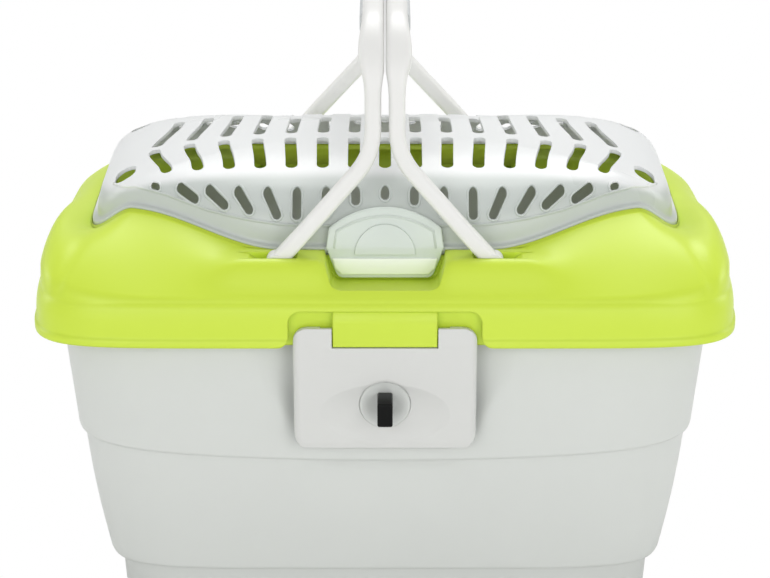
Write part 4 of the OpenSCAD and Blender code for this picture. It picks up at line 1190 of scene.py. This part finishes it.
def latchCuts():
    parts = [cylinder((0, -90, perchZ), (0, -130, perchZ), 11, 72)]
    # Gap for the lid's tongue
    gap = [(-22.4, rimZ), (22.4, rimZ), (22.4, rimZ + 12), (-22.4, rimZ + 12)]
    parts.append(prism(gap, 105, 125, lambda u, v, w: (u, -w, v)))
    # Everything outside the rounded corners
    for sx in (-1, 1):
        high = arcPoints(38.75 - 6, rimZ + 2.7, 6, range(0, 91, 6))
        high += [(38.75 - 6, rimZ + 12), (42, rimZ + 12), (42, rimZ + 2.7)]
        low = arcPoints(38.75 - 9, latchZ + 5.5, 9, range(-90, 1, 6))
        low += [(42, latchZ + 5.5), (42, latchZ - 4), (38.75 - 9, latchZ - 4)]
        for corner in (high, low):
            parts.append(prism([(sx * u, v) for u, v in corner], 105, 125, lambda u, v, w: (u, -w, v)))
        groove = [(21.0, rimZ + 2.4), (27.3, rimZ + 2.4), (27.3, rimZ + 12), (21.0, rimZ + 12)]
        parts.append(prism([(sx * u, v) for u, v in groove], 100, 113.5, lambda u, v, w: (u, -w, v)))
        lug = [(27.0, latchZ - 5), (31.8, latchZ - 5), (31.8, latchZ + 4.9), (27.0, latchZ + 4.9)]
        parts.append(prism([(sx * u, v) for u, v in lug], 100, latchBottomY - 0.95, lambda u, v, w: (u, -w, v)))
    return parts


for side in ("front", "rear"):
    verts, faces = latchPlate()
    body = "latch_%s_body" % side
    plate = joined("latch_plate_" + side, [(verts, faces)], latchShadedGrey)
    for part in latchCuts():
        carve(plate, [part])
    if side == "rear":
        plate.data.transform(Matrix.Rotation(math.pi, 4, "Z"))
    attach(plate, body)
    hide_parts("latch_" + side)
    parts = [cylinder((-27, -latchAxisY, latchZ), (27, -latchAxisY, latchZ), 3.5)]
    for sx in (-1, 1):
        top, foot = rimZ - 8, latchZ + 8
        wing = [(latchFace(top) - 1.5, top), (wallY(top) + 1, top), (wallY(foot) + 1, foot),
                (latchFace(foot) - 1.5, foot)]
        low, high = sorted((sx * 36.3, sx * 38.6))
        parts.append(prism(wing, low, high, lambda u, v, w: (w, -u, v)))
    if side == "rear":
        parts = [(turned(v).tolist(), f) for v, f in parts]
    frameParts = joined("latch_barrel_" + side, parts, latchShadedGrey)
    frameParts.data.set_sharp_from_angle(angle=math.radians(40))
    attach(frameParts, body)
print("latches made")

# Knobs

knob = {"w": 6.5, "h": 10.5, "out": 13.0}
for side in ("front", "rear"):
    tip = bossFace + knob["out"]
    w, h = knob["w"] / 2, knob["h"] / 2
    verts, faces = prism([(-w, -h), (w, -h), (w, h), (-w, h)], knobRoot, tip, lambda u, v, d: (u, -d, perchZ + v))
    shank = cylinder((0, -knobRoot - 0.6, perchZ), (0, -(wallY(perchZ) - 5.6 + 0.3), perchZ), 3.0)
    verts = turned(verts).tolist() if side == "rear" else verts
    shank = (turned(shank[0]).tolist(), shank[1]) if side == "rear" else shank
    body = "knob_%s_body" % side
    wing = joined("knob_bar_" + side, [(verts, faces)], black)
    bevelled(wing, 0.8, 3)
    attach(wing, body)
    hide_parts("perch_knob_" + side)
    stem = joined("knob_shank_" + side, [shank], black)
    stem.data.set_sharp_from_angle(angle=math.radians(40))
    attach(stem, body)
print("knobs made")

# CAD pieces that keep their shape

kept = [("perch", perchWood), ("door_hinge_pin", pinSteel)]
for side in ("front", "rear"):
    kept += [("perch_washer_" + side, black), ("perch_screw_" + side, pinSteel), ("latch_pin_" + side, pinSteel)]
for name, material in kept:
    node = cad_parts[name]
    node.data.materials.clear()
    node.data.materials.append(material)

# Floor, light and camera


def floorMaterial():
    material, tree, shader = newMaterial("floorWhite")
    feed(tree, shader, {"Base Color": (0.82, 0.82, 0.82, 1), "Roughness": 0.8})
    glow = addNode(tree, "ShaderNodeEmission", {"Color": (1, 1, 1, 1)})
    path = tree.nodes.new("ShaderNodeLightPath")
    blend = addNode(tree, "ShaderNodeMixShader", {
        "Fac": path.outputs["Is Camera Ray"], 1: shader.outputs["BSDF"], 2: glow.outputs["Emission"]})
    feed(tree, tree.nodes["Material Output"], {"Surface": blend.outputs["Shader"]})
    return material


bpy.ops.mesh.primitive_plane_add(size=6, location=(0, 0, 0))
floor = bpy.context.object
floor.name = "floor"
floor.data.materials.append(floorMaterial())

world = bpy.data.worlds.new("studio")
bpy.context.scene.world = world
world.use_nodes = True
sky = world.node_tree
back = feed(sky, sky.nodes["Background"], {"Color": (1, 1, 1, 1), "Strength": 0.55})
seen = addNode(sky, "ShaderNodeBackground", {"Color": (1, 1, 1, 1)})
path = sky.nodes.new("ShaderNodeLightPath")
blend = addNode(sky, "ShaderNodeMixShader", {
    "Fac": path.outputs["Is Camera Ray"], 1: back.outputs["Background"], 2: seen.outputs["Background"]})
feed(sky, sky.nodes["World Output"], {"Surface": blend.outputs["Shader"]})


def areaLight(name, place, target, size, power):
    data = bpy.data.lights.new(name, "AREA")
    data.shape = "DISK"
    data.size = size
    data.energy = power
    obj = bpy.data.objects.new(name, data)
    obj.location = place
    obj.rotation_euler = (Vector(target) - Vector(place)).to_track_quat("-Z", "Y").to_euler()
    bpy.context.scene.collection.objects.link(obj)


areaLight("topLight", (0.1, 0.9, 1.6), (0, 0, 0.15), 1.3, 17)
areaLight("leftLight", (-0.7, -2.0, 0.8), (0, 0, 0.12), 1.2, 10.5)
areaLight("rightLight", (0.9, -1.9, 0.7), (0, 0, 0.12), 1.2, 10.5)
cabinGlow = bpy.data.lights.new("cabinGlow", "POINT")
cabinGlow.energy = 0.03
cabinGlow.shadow_soft_size = 0.04
glowLamp = bpy.data.objects.new("cabinGlow", cabinGlow)
glowLamp.location = (0, 0.01, 0.165)
glowLamp.visible_camera = False
bpy.context.scene.collection.objects.link(glowLamp)
areaLight("leftSide", (-1.6, 0.5, 0.6), (0, 0, 0.15), 0.8, 5)
areaLight("rightSide", (1.6, 0.5, 0.6), (0, 0, 0.15), 0.8, 5)

pitch = math.radians(19.4)
target = Vector((0, 0, 0.126))
away = 1.2
data = bpy.data.cameras.new("photoCamera")
data.lens = 120.9
data.sensor_width = 36
camera = bpy.data.objects.new("photoCamera", data)
camera.location = target + Vector((0, -away * math.cos(pitch), away * math.sin(pitch)))
camera.rotation_euler = (math.pi / 2 - pitch, 0, 0)
bpy.context.scene.collection.objects.link(camera)
bpy.context.scene.camera = camera
bpy.context.scene.view_settings.view_transform = "Standard"
print("stage made")
